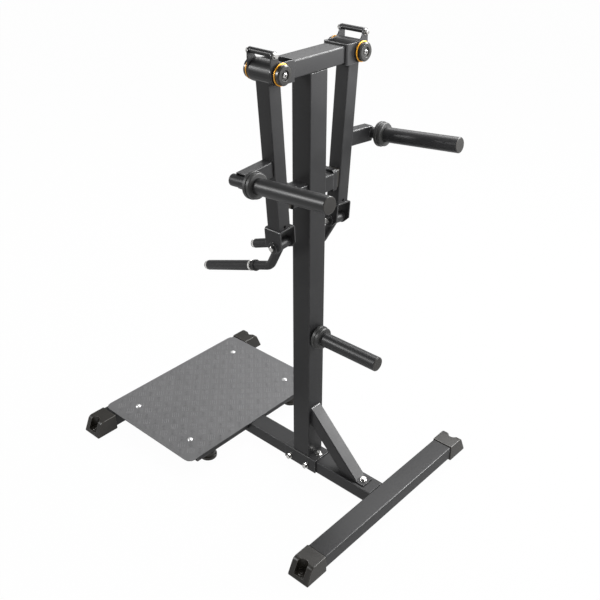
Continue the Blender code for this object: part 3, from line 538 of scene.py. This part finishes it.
plate_low, plate_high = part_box("platform_plate")
plate = softened("platform_plate", PLATE_EDGE)
for group in tread_groups(plate_low, plate_high):
    for count in range(TREAD_BARS):
        offset = (count - (TREAD_BARS - 1) / 2) * TREAD_BAR_SPACING
        tread_bar(plate, group @ Matrix.Translation((0, offset, 0)))
fitted(plate, "platform_tread_plate", TREAD_COAT, "tread_plate", "frame", "platform_plate")
# Each strip is a thin dark sheet on the fold's face, painting its shade.
for side, sign in SIDES.items():
    strip = block((plate_high[0] + STRIP_THICKNESS / 2 - STRIP_SUNK, sign * (STRIP_NEAR + STRIP_FAR) / 2,
                   (plate_low[2] + plate_high[2] - STRIP_DROP) / 2),
                  (STRIP_THICKNESS, STRIP_FAR - STRIP_NEAR, plate_high[2] - STRIP_DROP - plate_low[2]))
    fitted(strip, "platform_fold_shade_strip_" + side, POWDER_COAT, "powder_coat", "frame")


# Platform supports.
# Two cross members and two rails of steel tube under the plate, two round rubber feet, and four bright
# round headed coach bolts through the plate.

ZINC = surface_finish("zinc_plate", (200, 200, 200), (222, 222, 221), (232, 232, 232), roughness=0.34,
                      grain_size=0.003, grain_depth=0.00002, metallic=0.45, edge_width=0.0006)
THIN_EDGE = 0.0005
FOOT_STEP = 0.004
FOOT_ROUNDING = 0.003
COACH_BOLT_X = (-0.4889, -0.1770)
COACH_BOLT_Y = 0.2645
COACH_BOLT_RADIUS = 0.0112
COACH_BOLT_HEIGHT = 0.0048
COACH_BOLT_SUNK = 0.0005
COACH_BOLT_UNDERCUT = 0.0002


def arc(along, out, radius, start, end, steps=6):
    """Points on an arc of a profile, with its angles in degrees from the X axis."""
    points = []
    for step in range(steps + 1):
        angle = math.radians(start + (end - start) * step / steps)
        points.append((along + radius * math.cos(angle), out + radius * math.sin(angle)))
    return points


def coach_bolt(place, radius, height):
    """A round, domed bolt head, its X axis out of the surface."""
    curve = (radius ** 2 + height ** 2) / (2 * height)
    reach = math.degrees(math.asin(radius / curve))
    base = [(-COACH_BOLT_SUNK, 0), (-COACH_BOLT_SUNK, radius - COACH_BOLT_UNDERCUT)]
    return turned(base + arc(height - curve, 0, curve, reach, 0, 8), place, steps=48)


for side, sign in SIDES.items():
    for node in ("platform_cross_member_" + side, "platform_rail_" + side):
        fitted(softened(node, THIN_EDGE), node + "_coated", POWDER_COAT, "powder_coat", "frame", node)
    foot_low, foot_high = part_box("platform_foot_" + side)
    radius = (foot_high[0] - foot_low[0]) / 2
    height = foot_high[2]
    seat = facing(((foot_low[0] + foot_high[0]) / 2, (foot_low[1] + foot_high[1]) / 2, 0), UP)
    rim = radius - FOOT_ROUNDING
    profile = [(0, 0), (0, radius - FOOT_STEP)] + arc(FOOT_ROUNDING, rim, FOOT_ROUNDING, 180, 90, 4)
    profile += arc(height / 2 - FOOT_ROUNDING, rim, FOOT_ROUNDING, 90, 20, 4)
    profile += [(height / 2, radius - FOOT_STEP), (height, radius - FOOT_STEP), (height, 0)]
    fitted(turned(profile, seat), "platform_foot_" + side + "_moulded", RUBBER, "rubber", "frame",
           "platform_foot_" + side)
    for end, x in zip(("rear", "front"), COACH_BOLT_X):
        seat = facing((x, sign * COACH_BOLT_Y, plate_high[2]), UP)
        fitted(coach_bolt(seat, COACH_BOLT_RADIUS, COACH_BOLT_HEIGHT),
               "platform_bolt_" + end + "_" + side, ZINC, "bright_steel", "frame")


# Column, its saddle and the top beam.
# A 76 mm square tube stands on a saddle of bent 5 mm plate, which straps it to the centre beam with
# bright hexagon bolts, and carries a short cross tube.

CHROME = surface_finish("bright_chrome", (160, 159, 157), (184, 183, 181), (206, 205, 203), roughness=0.2,
                        grain_size=0.004, grain_depth=0.00002, metallic=1.0, edge_width=0.0006)
WASHER_THICKNESS = 0.0016
WASHER_EDGE = 0.0004
BOLT_ROUNDING = 0.0011
BOLT_ACROSS = 0.016
BOLT_WASHER_RADIUS = 0.0115
SIDE_BOLT_HEIGHT = 0.009
TOP_BOLT_HEIGHT = 0.008
SADDLE_BOLT_X = (0.1347, 0.2163)
SADDLE_BOLT_Z = 0.0211
SADDLE_TOP_BOLT_X = 0.2441


def hexagon_bolt(place, across, height, washer_radius):
    """A hexagon bolt head on a round washer, its X axis out of the surface."""
    mesh = turned([(0, 0), (0, washer_radius), (WASHER_THICKNESS - WASHER_EDGE, washer_radius),
                   (WASHER_THICKNESS, washer_radius - WASHER_EDGE), (WASHER_THICKNESS, 0)], steps=36)
    radius = across / math.sqrt(3)
    head = bmesh.ops.create_cone(mesh, cap_ends=True, segments=6, radius1=radius, radius2=radius,
                                 depth=height)["verts"]
    top = [line for line in edges_of(head) if all(end.co.z > 0 for end in line.verts)]
    rounded = bevelled(mesh, top, BOLT_ROUNDING)
    head = [corner for corner in set(head) | set(rounded["verts"]) if corner.is_valid]
    lay = Matrix.Translation((WASHER_THICKNESS + height / 2, 0, 0)) @ Z_TO_X
    bmesh.ops.transform(mesh, matrix=lay, verts=head)
    bmesh.ops.transform(mesh, matrix=place, verts=mesh.verts)
    return mesh


for node in ("column_saddle", "column", "top_beam"):
    fitted(softened(node), node + "_coated", POWDER_COAT, "powder_coat", "frame", node)
saddle_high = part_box("column_saddle")[1]
for side, sign in SIDES.items():
    for end, x in zip(("rear", "front"), SADDLE_BOLT_X):
        seat = facing((x, sign * saddle_high[1], SADDLE_BOLT_Z), (0, sign, 0))
        fitted(hexagon_bolt(seat, BOLT_ACROSS, SIDE_BOLT_HEIGHT, BOLT_WASHER_RADIUS),
               "saddle_bolt_" + end + "_" + side, CHROME, "bright_steel", "frame")
seat = facing((SADDLE_TOP_BOLT_X, 0, saddle_high[2]), UP)
fitted(hexagon_bolt(seat, BOLT_ACROSS, TOP_BOLT_HEIGHT, BOLT_WASHER_RADIUS), "saddle_top_bolt", CHROME,
       "bright_steel", "frame")


# Diagonal brace.
# A 51 mm square tube cut at 45 degrees and welded to the column's front and to a foot plate, which one
# hexagon bolt holds down on the centre beam.

BRACE_BOLT_X = 0.4553
fitted(softened("diagonal_brace"), "diagonal_brace_coated", POWDER_COAT, "powder_coat", "frame",
       "diagonal_brace")
seat = facing((BRACE_BOLT_X, 0, saddle_high[2]), UP)
fitted(hexagon_bolt(seat, BOLT_ACROSS, TOP_BOLT_HEIGHT, BOLT_WASHER_RADIUS), "brace_bolt", CHROME,
       "bright_steel", "frame")


# Plate horns.
# A steel pin carries a stepped plastic collar, a smooth black sleeve for the weight plates and a plug in
# its open end. One horn on the column stores plates, and one on each arm loads it.

COLLAR_PLASTIC = surface_finish("collar_plastic", (50, 50, 50), (61, 61, 60), (72, 72, 71), roughness=0.48,
                                grain_size=0.0014, grain_depth=0.00006, specular=0.3, cloud_scale=25)
SLEEVE_BLACK = surface_finish("sleeve_black", (38, 38, 39), (46, 46, 47), (96, 96, 97), roughness=0.4,
                              grain_size=0.003, grain_depth=0.00002, specular=0.25, edge_width=0.0012,
                              cloud_scale=14)
PLUG_RUBBER = surface_finish("plug_rubber", (36, 34, 31), (46, 44, 41), (104, 100, 94), roughness=0.42,
                             grain_size=0.0016, grain_depth=0.00008, specular=0.25, edge_width=0.0016,
                             cloud_scale=30)
CLEARANCE = 0.0003
PIN_RADIUS = 0.01825
COLLAR_BACK = 0.046
COLLAR_RADIUS = 0.041
COLLAR_THICKNESS = 0.013
FRONT_COLLAR_RADIUS = 0.0385
FRONT_COLLAR_THICKNESS = 0.014
COLLAR_ROUNDING = 0.0045
COLLAR_STEP_EDGE = 0.0012
SLEEVE_RADIUS = 0.02475
SLEEVE_ROUNDING = 0.0014
SLEEVE_INNER_ROUNDING = 0.0008
PLUG_RADIUS = 0.02075
PLUG_DEPTH = 0.0115
PLUG_FLANGE = 0.0014
PLUG_FLANGE_RADIUS = 0.0236
PLUG_ROUNDING = 0.001
STORAGE_HEIGHT = 0.5795
STORAGE_TIP = 0.3005


def rounded_disc(back, front, radius, back_edge, front_edge):
    """The outer line of a disc whose two rims are rounded."""
    line = arc(back + back_edge, radius - back_edge, back_edge, 180, 90)
    return line + arc(front - front_edge, radius - front_edge, front_edge, 90, 0)


def plate_horn(suffix, place, tip, body):
    """The collar, sleeve and plug on a pin that starts at its place and points along X."""
    bore = PIN_RADIUS + CLEARANCE
    step = COLLAR_BACK + COLLAR_THICKNESS
    front = step + FRONT_COLLAR_THICKNESS
    profile = [(COLLAR_BACK, bore)]
    profile += rounded_disc(COLLAR_BACK, step, COLLAR_RADIUS, COLLAR_ROUNDING, COLLAR_STEP_EDGE)
    profile += rounded_disc(step, front, FRONT_COLLAR_RADIUS, COLLAR_STEP_EDGE, COLLAR_ROUNDING)
    profile += [(front, bore), (COLLAR_BACK, bore)]
    fitted(turned(profile, place), "plate_collar" + suffix + "_turned", COLLAR_PLASTIC, "black_plastic",
           body, "plate_collar" + suffix)
    start = front + CLEARANCE
    seat = tip - PLUG_DEPTH + CLEARANCE
    socket = PLUG_RADIUS + CLEARANCE
    profile = [(start, bore), (start, SLEEVE_RADIUS)]
    profile += arc(tip - SLEEVE_ROUNDING, SLEEVE_RADIUS - SLEEVE_ROUNDING, SLEEVE_ROUNDING, 90, 0, 4)
    profile += arc(tip - SLEEVE_INNER_ROUNDING, socket + SLEEVE_INNER_ROUNDING, SLEEVE_INNER_ROUNDING,
                   0, -90, 3)
    profile += [(seat, socket), (seat, bore), (start, bore)]
    fitted(turned(profile, place), "plate_sleeve" + suffix + "_turned", SLEEVE_BLACK, "sleeve_black",
           body, "plate_sleeve" + suffix)
    seat += CLEARANCE
    face = tip + PLUG_FLANGE
    profile = [(seat, 0), (seat, PLUG_RADIUS), (tip, PLUG_RADIUS), (tip, PLUG_FLANGE_RADIUS)]
    profile += arc(face - PLUG_ROUNDING, PLUG_FLANGE_RADIUS - PLUG_ROUNDING, PLUG_ROUNDING, 90, 0, 4)
    profile += [(face, 0)]
    fitted(turned(profile, place), "plate_plug" + suffix + "_moulded", PLUG_RUBBER, "rubber",
           body, "plate_end_cap" + suffix)


column_low, column_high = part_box("column")
column_x = (column_low[0] + column_high[0]) / 2
fitted(softened("storage_pin", THIN_EDGE), "storage_pin_coated", POWDER_COAT, "powder_coat", "frame",
       "storage_pin")
plate_horn("_storage", Matrix.Translation((column_x, 0, STORAGE_HEIGHT)), STORAGE_TIP, "frame")


# Lower stops.
# A stub of tube with a thick end plate on each side of the column, and the rubber block on it that the
# resting arm leans on.

for side in SIDES:
    node = "stop_arm_" + side
    fitted(softened(node), node + "_coated", POWDER_COAT, "powder_coat", "frame", node)
    node = "stop_bumper_" + side
    fitted(softened(node, BOOT_EDGE), node + "_moulded", RUBBER, "rubber", "frame", node)


# Pivot heads.
# A bracket of bent plate on each end of the top beam. The shaft runs through its cheeks, and outside each
# cheek sit a thick grey washer, a gold bearing ring and a black cap that a chrome screw holds on.

GOLD = surface_finish("gold_ring", (226, 152, 32), (242, 176, 52), (250, 196, 84), roughness=0.4,
                      grain_size=0.003, grain_depth=0.00003, metallic=0.5, edge_width=0.0006,
                      cloud_scale=40)
WASHER_STEEL = surface_finish("washer_steel", (84, 80, 74), (104, 99, 92), (150, 146, 140), roughness=0.35,
                              grain_size=0.003, grain_depth=0.00002, metallic=0.8, edge_width=0.0006)
CAP_PLASTIC = surface_finish("cap_plastic", (36, 35, 33), (46, 45, 42), (70, 69, 66), roughness=0.3,
                             grain_size=0.0014, grain_depth=0.00005, specular=0.35, edge_width=0.0012,
                             cloud_scale=30)
SHAFT_CHAMFER = 0.001
SPACER_THICKNESS = 0.006
SPACER_INSET = 0.003
SPACER_CHAMFER = (0.0004, 0.0005)
RING_CHAMFER = 0.0008
RING_ROUNDING = 0.0015
CAP_RADIUS = 0.02875
CAP_CHAMFER = 0.0006
CAP_ROUNDING = 0.001
CAP_BEVEL = (0.004, 0.0044)
DISH_RADIUS = 0.0145
DISH_SLOPE = 0.002
DISH_RISE = 0.0018
PIVOT_SCREW_RADIUS = 0.0085
PIVOT_SCREW_HEIGHT = 0.0045


def bar_profile(half, radius, chamfer):
    """A solid round bar about its own middle, with chamfered ends."""
    return [(-half, 0), (-half, radius - chamfer), (chamfer - half, radius),
            (half - chamfer, radius), (half, radius - chamfer), (half, 0)]


def washer_profile(back, front, bore, radius):
    """The grey washer, with a small chamfer towards the bracket."""
    deep, high = SPACER_CHAMFER
    return [(back, bore), (back, radius - high), (back + deep, radius), (front, radius), (front, bore),
            (back, bore)]


def ring_profile(back, front, bore, radius):
    """The gold ring, chamfered behind and rounded in front."""
    profile = [(back, bore), (back, radius - RING_CHAMFER), (back + RING_CHAMFER, radius)]
    profile += arc(front - RING_ROUNDING, radius - RING_ROUNDING, RING_ROUNDING, 90, 0, 4)
    return profile + [(front, bore), (back, bore)]


def cap_profile(back, front, bore, dish_floor, socket_floor):
    """The black cap, with a bevelled rim, a dish for its screw and a socket for the shaft's end."""
    deep, high = CAP_BEVEL
    profile = [(back, bore), (back, CAP_RADIUS - CAP_CHAMFER), (back + CAP_CHAMFER, CAP_RADIUS)]
    profile += arc(front - deep, CAP_RADIUS - CAP_ROUNDING, CAP_ROUNDING, 90, 45, 3)
    profile += arc(front - CAP_ROUNDING, CAP_RADIUS - high, CAP_ROUNDING, 45, 0, 3)
    profile += arc(front - CAP_ROUNDING, DISH_RADIUS + CAP_ROUNDING, CAP_ROUNDING, 0, -70, 3)
    return profile + [(dish_floor, DISH_RADIUS - DISH_SLOPE), (dish_floor, 0), (socket_floor, 0),
                      (socket_floor, bore), (back, bore)]


for side in SIDES:
    fitted(softened("pivot_bracket_" + side), "pivot_bracket_" + side + "_coated", POWDER_COAT,
           "powder_coat", "frame", "pivot_bracket_" + side)
    shaft_low, shaft_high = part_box("pivot_shaft_" + side)
    shaft_radius = (shaft_high[2] - shaft_low[2]) / 2
    pivot = Vector([(low + high) / 2 for low, high in zip(shaft_low, shaft_high)])
    half = (shaft_high[0] - shaft_low[0]) / 2
    bore = shaft_radius + CLEARANCE
    fitted(turned(bar_profile(half, shaft_radius, SHAFT_CHAMFER), Matrix.Translation(pivot)),
           "pivot_shaft_" + side + "_turned", CHROME, "bright_steel", "frame", "pivot_shaft_" + side)
    for end, outward in (("front", 1), ("rear", -1)):
        place = facing(pivot, (outward, 0, 0))
        label = end + "_" + side
        ring_low, ring_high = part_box("bearing_ring_" + label)
        back, front = sorted(abs(face - pivot.x) for face in (ring_low[0], ring_high[0]))
        radius = (ring_high[2] - ring_low[2]) / 2
        step = back + SPACER_THICKNESS
        washer = washer_profile(back, step - CLEARANCE, bore, radius - SPACER_INSET)
        fitted(turned(washer, place), "pivot_washer_" + label, WASHER_STEEL, "bright_steel", "frame")
        fitted(turned(ring_profile(step, front, bore, radius), place),
               "bearing_ring_" + label + "_turned", GOLD, "gold_ring", "frame", "bearing_ring_" + label)
        cap_low, cap_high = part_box("bearing_cap_" + label)
        back, front = sorted(abs(face - pivot.x) for face in (cap_low[0], cap_high[0]))
        dish_floor = (back + front) / 2 + DISH_RISE
        cap = cap_profile(back, front, bore, dish_floor, half + CLEARANCE)
        fitted(turned(cap, place), "bearing_cap_" + label + "_moulded", CAP_PLASTIC, "black_plastic",
               "frame", "bearing_cap_" + label)
        seat = place @ Matrix.Translation((dish_floor, 0, 0))
        fitted(socket_screw(seat, PIVOT_SCREW_RADIUS, PIVOT_SCREW_HEIGHT), "pivot_screw_" + label, CHROME,
               "bright_steel", "frame")


# Upper stop rods.
# A round bar between the ears of each pivot bracket stops the arm at the top of its swing. A hexagon bolt
# at each end clamps it.

ROD_CHAMFER = 0.0008
ROD_BOLT_DROP = 0.003
ROD_BOLT_ACROSS = 0.0135
ROD_BOLT_HEIGHT = 0.0085
ROD_BOLT_WASHER_RADIUS = 0.0095
for side in SIDES:
    rod = "upper_stop_rod_" + side
    rod_low, rod_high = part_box(rod)
    middle = Vector([(low + high) / 2 for low, high in zip(rod_low, rod_high)])
    profile = bar_profile((rod_high[0] - rod_low[0]) / 2, (rod_high[2] - rod_low[2]) / 2, ROD_CHAMFER)
    fitted(turned(profile, Matrix.Translation(middle), steps=48), rod + "_coated", POWDER_COAT,
           "powder_coat", "frame", rod)
    bracket_low, bracket_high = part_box("pivot_bracket_" + side)
    for end, outward, face in (("front", 1, bracket_high[0]), ("rear", -1, bracket_low[0])):
        seat = facing((face, middle.y, middle.z - ROD_BOLT_DROP), (outward, 0, 0))
        fitted(hexagon_bolt(seat, ROD_BOLT_ACROSS, ROD_BOLT_HEIGHT, ROD_BOLT_WASHER_RADIUS),
               "stop_rod_bolt_" + end + "_" + side, CHROME, "bright_steel", "frame")


# Arms.
# A 51 mm square tube hangs from a round hub, which turns on a bronze bush. A flat tube reaches outboard
# and carries the arm's plate horn. Near its foot a small near-black, matt disc in each drain hole paints
# the shade inside the hole.

HOLE_SHADE_BLACK = surface_finish("painted_hole_shade", (2, 2, 2), (4, 4, 4), (6, 6, 6), roughness=0.9,
                            grain_size=0.002, grain_depth=0.00002, specular=0.0, edge_width=0.0001,
                            cloud_scale=40)
BRONZE = surface_finish("bush_bronze", (150, 108, 52), (176, 130, 68), (204, 160, 96), roughness=0.35,
                        grain_size=0.003, grain_depth=0.00003, metallic=1.0, edge_width=0.0006,
                        cloud_scale=40)
PIVOT_SPACING = 0.357
PIVOT_HEIGHT = pivot.z
ARM_LEAN = math.radians(4.53)
ARM_SIDE = 0.0508
BUSH_WALL = 0.0035
DRAIN_DROP = 0.4805
# A shallow dished disc that paints the drain hole's shade, as (along, out) points of its profile.
DRAIN_SHADE_DISC = [(-0.0004, 0), (-0.0004, 0.0046), (0.0003, 0.0046), (0.0005, 0.004), (0.0002, 0.0034),
              (0.0002, 0)]
OUTRIGGER_DROP = 0.282
HORN_REACH = 0.1375
HORN_TILT = math.radians(5.4)
HORN_SPLAY = math.radians(2.1)
HORN_TIP = 0.344
arm_frames = {}
for side, sign in SIDES.items():
    body = side + "_arm"
    hinge = Matrix.Translation((column_x, sign * PIVOT_SPACING / 2, PIVOT_HEIGHT))
    arm_frame = hinge @ Matrix.Rotation(-sign * ARM_LEAN, 4, "X")
    arm_frames[side] = arm_frame
    for node in ("arm_" + side, "outrigger_" + side):
        fitted(softened(node), node + "_coated", POWDER_COAT, "powder_coat", body, node)
    for end, outward in (("front", 1), ("rear", -1)):
        hole = arm_frame @ Matrix.Translation((outward * ARM_SIDE / 2, 0, -DRAIN_DROP))
        seat = hole @ facing((0, 0, 0), (outward, 0, 0))
        # A near-black, matt disc in the hole paints the shade inside it.
        fitted(turned(DRAIN_SHADE_DISC, seat, steps=32), "arm_hole_shade_" + end + "_" + side, HOLE_SHADE_BLACK,
               "black_plastic", body)
    bush_low, bush_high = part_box("hub_bush_" + side)
    half = (bush_high[0] - bush_low[0]) / 2
    outer = bore + BUSH_WALL
    profile = [(-half, bore), (-half, outer), (half, outer), (half, bore), (-half, bore)]
    fitted(turned(profile, arm_frame, steps=48), "hub_bush_" + side + "_turned", BRONZE, "bronze", body,
           "hub_bush_" + side)
    splay = Matrix.Rotation(sign * HORN_SPLAY, 4, "Z")
    tilt = Matrix.Rotation(-HORN_TILT, 4, "Y")
    horn = arm_frame @ Matrix.Translation((0, sign * HORN_REACH, -OUTRIGGER_DROP)) @ splay @ tilt
    plate_horn("_" + side, horn, HORN_TIP, body)


# Handle forks.
# A fork of bent plate is welded under each arm. Its cheeks taper to round noses, where a bright bolt
# carries the swinging handle.

FORK_BOLT_EDGE = 0.0004
for side in SIDES:
    body = side + "_arm"
    node = "handle_clevis_" + side
    fitted(softened(node), node + "_coated", POWDER_COAT, "powder_coat", body, node)
    node = "handle_bolt_" + side
    fitted(softened(node, FORK_BOLT_EDGE), node + "_turned", CHROME, "bright_steel", body, node)


# Handles.
# A round steel tube, bent once, is welded to a hub that swings on the fork's bolt. A flange on the tube
# keeps the hand off the bend.

CLEVIS_OFFSET = 0.003
HANDLE_PIVOT_DROP = 0.549
STEM_ANGLE = math.radians(61.2)
GRIP_ANGLE = math.radians(19.6)
STEM_LENGTH = 0.1125
ELBOW_RADIUS = 0.046
HANDLE_LENGTH = 0.338
TUBE_RADIUS = 0.015
HUB_RADIUS = 0.019
HUB_HALF = 0.0284
WELDED_EDGE = 0.001
FLANGE_DISTANCE = 0.070
FLANGE_THICKNESS = 0.008
FLANGE_RADIUS = 0.01925
FLANGE_ROUNDING = 0.002
stem = Vector((-math.cos(STEM_ANGLE), 0, -math.sin(STEM_ANGLE)))
along = Vector((-math.cos(GRIP_ANGLE), 0, -math.sin(GRIP_ANGLE)))
bend_corner = stem * STEM_LENGTH


def drawn_on(mesh, loop, step):
    """Extrudes an open ring of edges by a step and returns the new ring."""
    ring, loop = extruded(mesh, loop)
    bmesh.ops.translate(mesh, verts=ring, vec=step)
    return loop


def bent_tube():
    """The handle's tube: straight stem, bend and straight grip, closed at both ends."""
    mesh = bmesh.new()
    reach = ELBOW_RADIUS * math.tan((STEM_ANGLE - GRIP_ANGLE) / 2)
    start = stem * HUB_RADIUS / 2
    lay = facing(start, stem) @ Z_TO_X
    loop = edges_of(bmesh.ops.create_circle(mesh, segments=48, radius=TUBE_RADIUS, matrix=lay)["verts"])
    loop = drawn_on(mesh, loop, bend_corner - stem * reach - start)
    inward = Vector((-math.sin(STEM_ANGLE), 0, math.cos(STEM_ANGLE)))
    centre = bend_corner - stem * reach + inward * ELBOW_RADIUS
    bend = bmesh.ops.spin(mesh, geom=loop, cent=centre, axis=(0, 1, 0), angle=STEM_ANGLE - GRIP_ANGLE,
                          steps=16)["geom_last"]
    loop = [part for part in bend if isinstance(part, bmesh.types.BMEdge)]
    drawn_on(mesh, loop, along * (HANDLE_LENGTH - reach))
    bmesh.ops.remove_doubles(mesh, verts=mesh.verts, dist=MERGE_DISTANCE)
    closed(mesh)
    return mesh


def flange_profile():
    """A flat ring with both rims rounded, its bore a little inside the tube's wall."""
    end = FLANGE_DISTANCE + FLANGE_THICKNESS
    crown = FLANGE_RADIUS - FLANGE_ROUNDING
    profile = [(FLANGE_DISTANCE, TUBE_RADIUS - WELDED_EDGE)]
    profile += arc(FLANGE_DISTANCE + FLANGE_ROUNDING, crown, FLANGE_ROUNDING, 180, 90, 4)
    profile += arc(end - FLANGE_ROUNDING, crown, FLANGE_ROUNDING, 90, 0, 4)
    return profile + [(end, TUBE_RADIUS - WELDED_EDGE), profile[0]]


handle_frames = {}
for side, sign in SIDES.items():
    fork = Matrix.Translation((0, -sign * CLEVIS_OFFSET, -HANDLE_PIVOT_DROP))
    handle_frames[side] = arm_frames[side] @ fork
    handle = bent_tube()
    hub = bar_profile(HUB_HALF, HUB_RADIUS, WELDED_EDGE)
    turned(hub, Matrix.Rotation(math.pi / 2, 4, "Z"), steps=48, mesh=handle)
    turned(flange_profile(), facing(bend_corner, along), steps=48, mesh=handle)
    bmesh.ops.transform(handle, matrix=handle_frames[side], verts=handle.verts)
    fitted(handle, "handle_" + side + "_coated", POWDER_COAT, "powder_coat", side + "_handle",
           "handle_" + side)


# Grips.
# A black rubber sleeve pushed over each handle's end, between two pale metal rings: a broad one beside
# the flange and a slimmer one at the outer end.

GRIP_BLACK = surface_finish("grip_black", (34, 34, 35), (44, 44, 45), (60, 60, 61), roughness=0.36,
                            grain_size=0.0022, grain_depth=0.0001, specular=0.25, edge_width=0.001,
                            cloud_scale=30)
PALE_RING = surface_finish("pale_ring", (206, 205, 202), (226, 225, 222), (240, 240, 238), roughness=0.3,
                           grain_size=0.004, grain_depth=0.00002, metallic=0.5, edge_width=0.0006)
GRIP_START = 0.0905
GRIP_END = 0.334
GRIP_RADIUS = 0.01725
GRIP_CHAMFER = 0.001
RING_WIDTH = 0.008
INNER_RING_RADIUS = 0.0185
END_RING_RADIUS = 0.0165


def sleeve_profile(near, far, bore, radius, chamfer):
    """A tube with both outer rims chamfered."""
    return [(near, bore), (near, radius - chamfer), (near + chamfer, radius), (far - chamfer, radius),
            (far, radius - chamfer), (far, bore), (near, bore)]


for side in SIDES:
    body = side + "_handle"
    place = handle_frames[side] @ facing(bend_corner, along)
    bore = TUBE_RADIUS + CLEARANCE
    start = GRIP_START + RING_WIDTH
    end = GRIP_END - RING_WIDTH
    grip = sleeve_profile(start, end, bore, GRIP_RADIUS, GRIP_CHAMFER)
    fitted(turned(grip, place, steps=64), "grip_" + side + "_moulded", GRIP_BLACK, "grip_black", body,
           "grip_" + side)
    for label, near, far, radius in (("inner", GRIP_START, start - CLEARANCE, INNER_RING_RADIUS),
                                     ("outer", end + CLEARANCE, GRIP_END, END_RING_RADIUS)):
        ring = sleeve_profile(near, far, bore, radius, GRIP_CHAMFER)
        fitted(turned(ring, place, steps=64), "grip_ring_" + label + "_" + side, PALE_RING,
               "bright_steel", body)
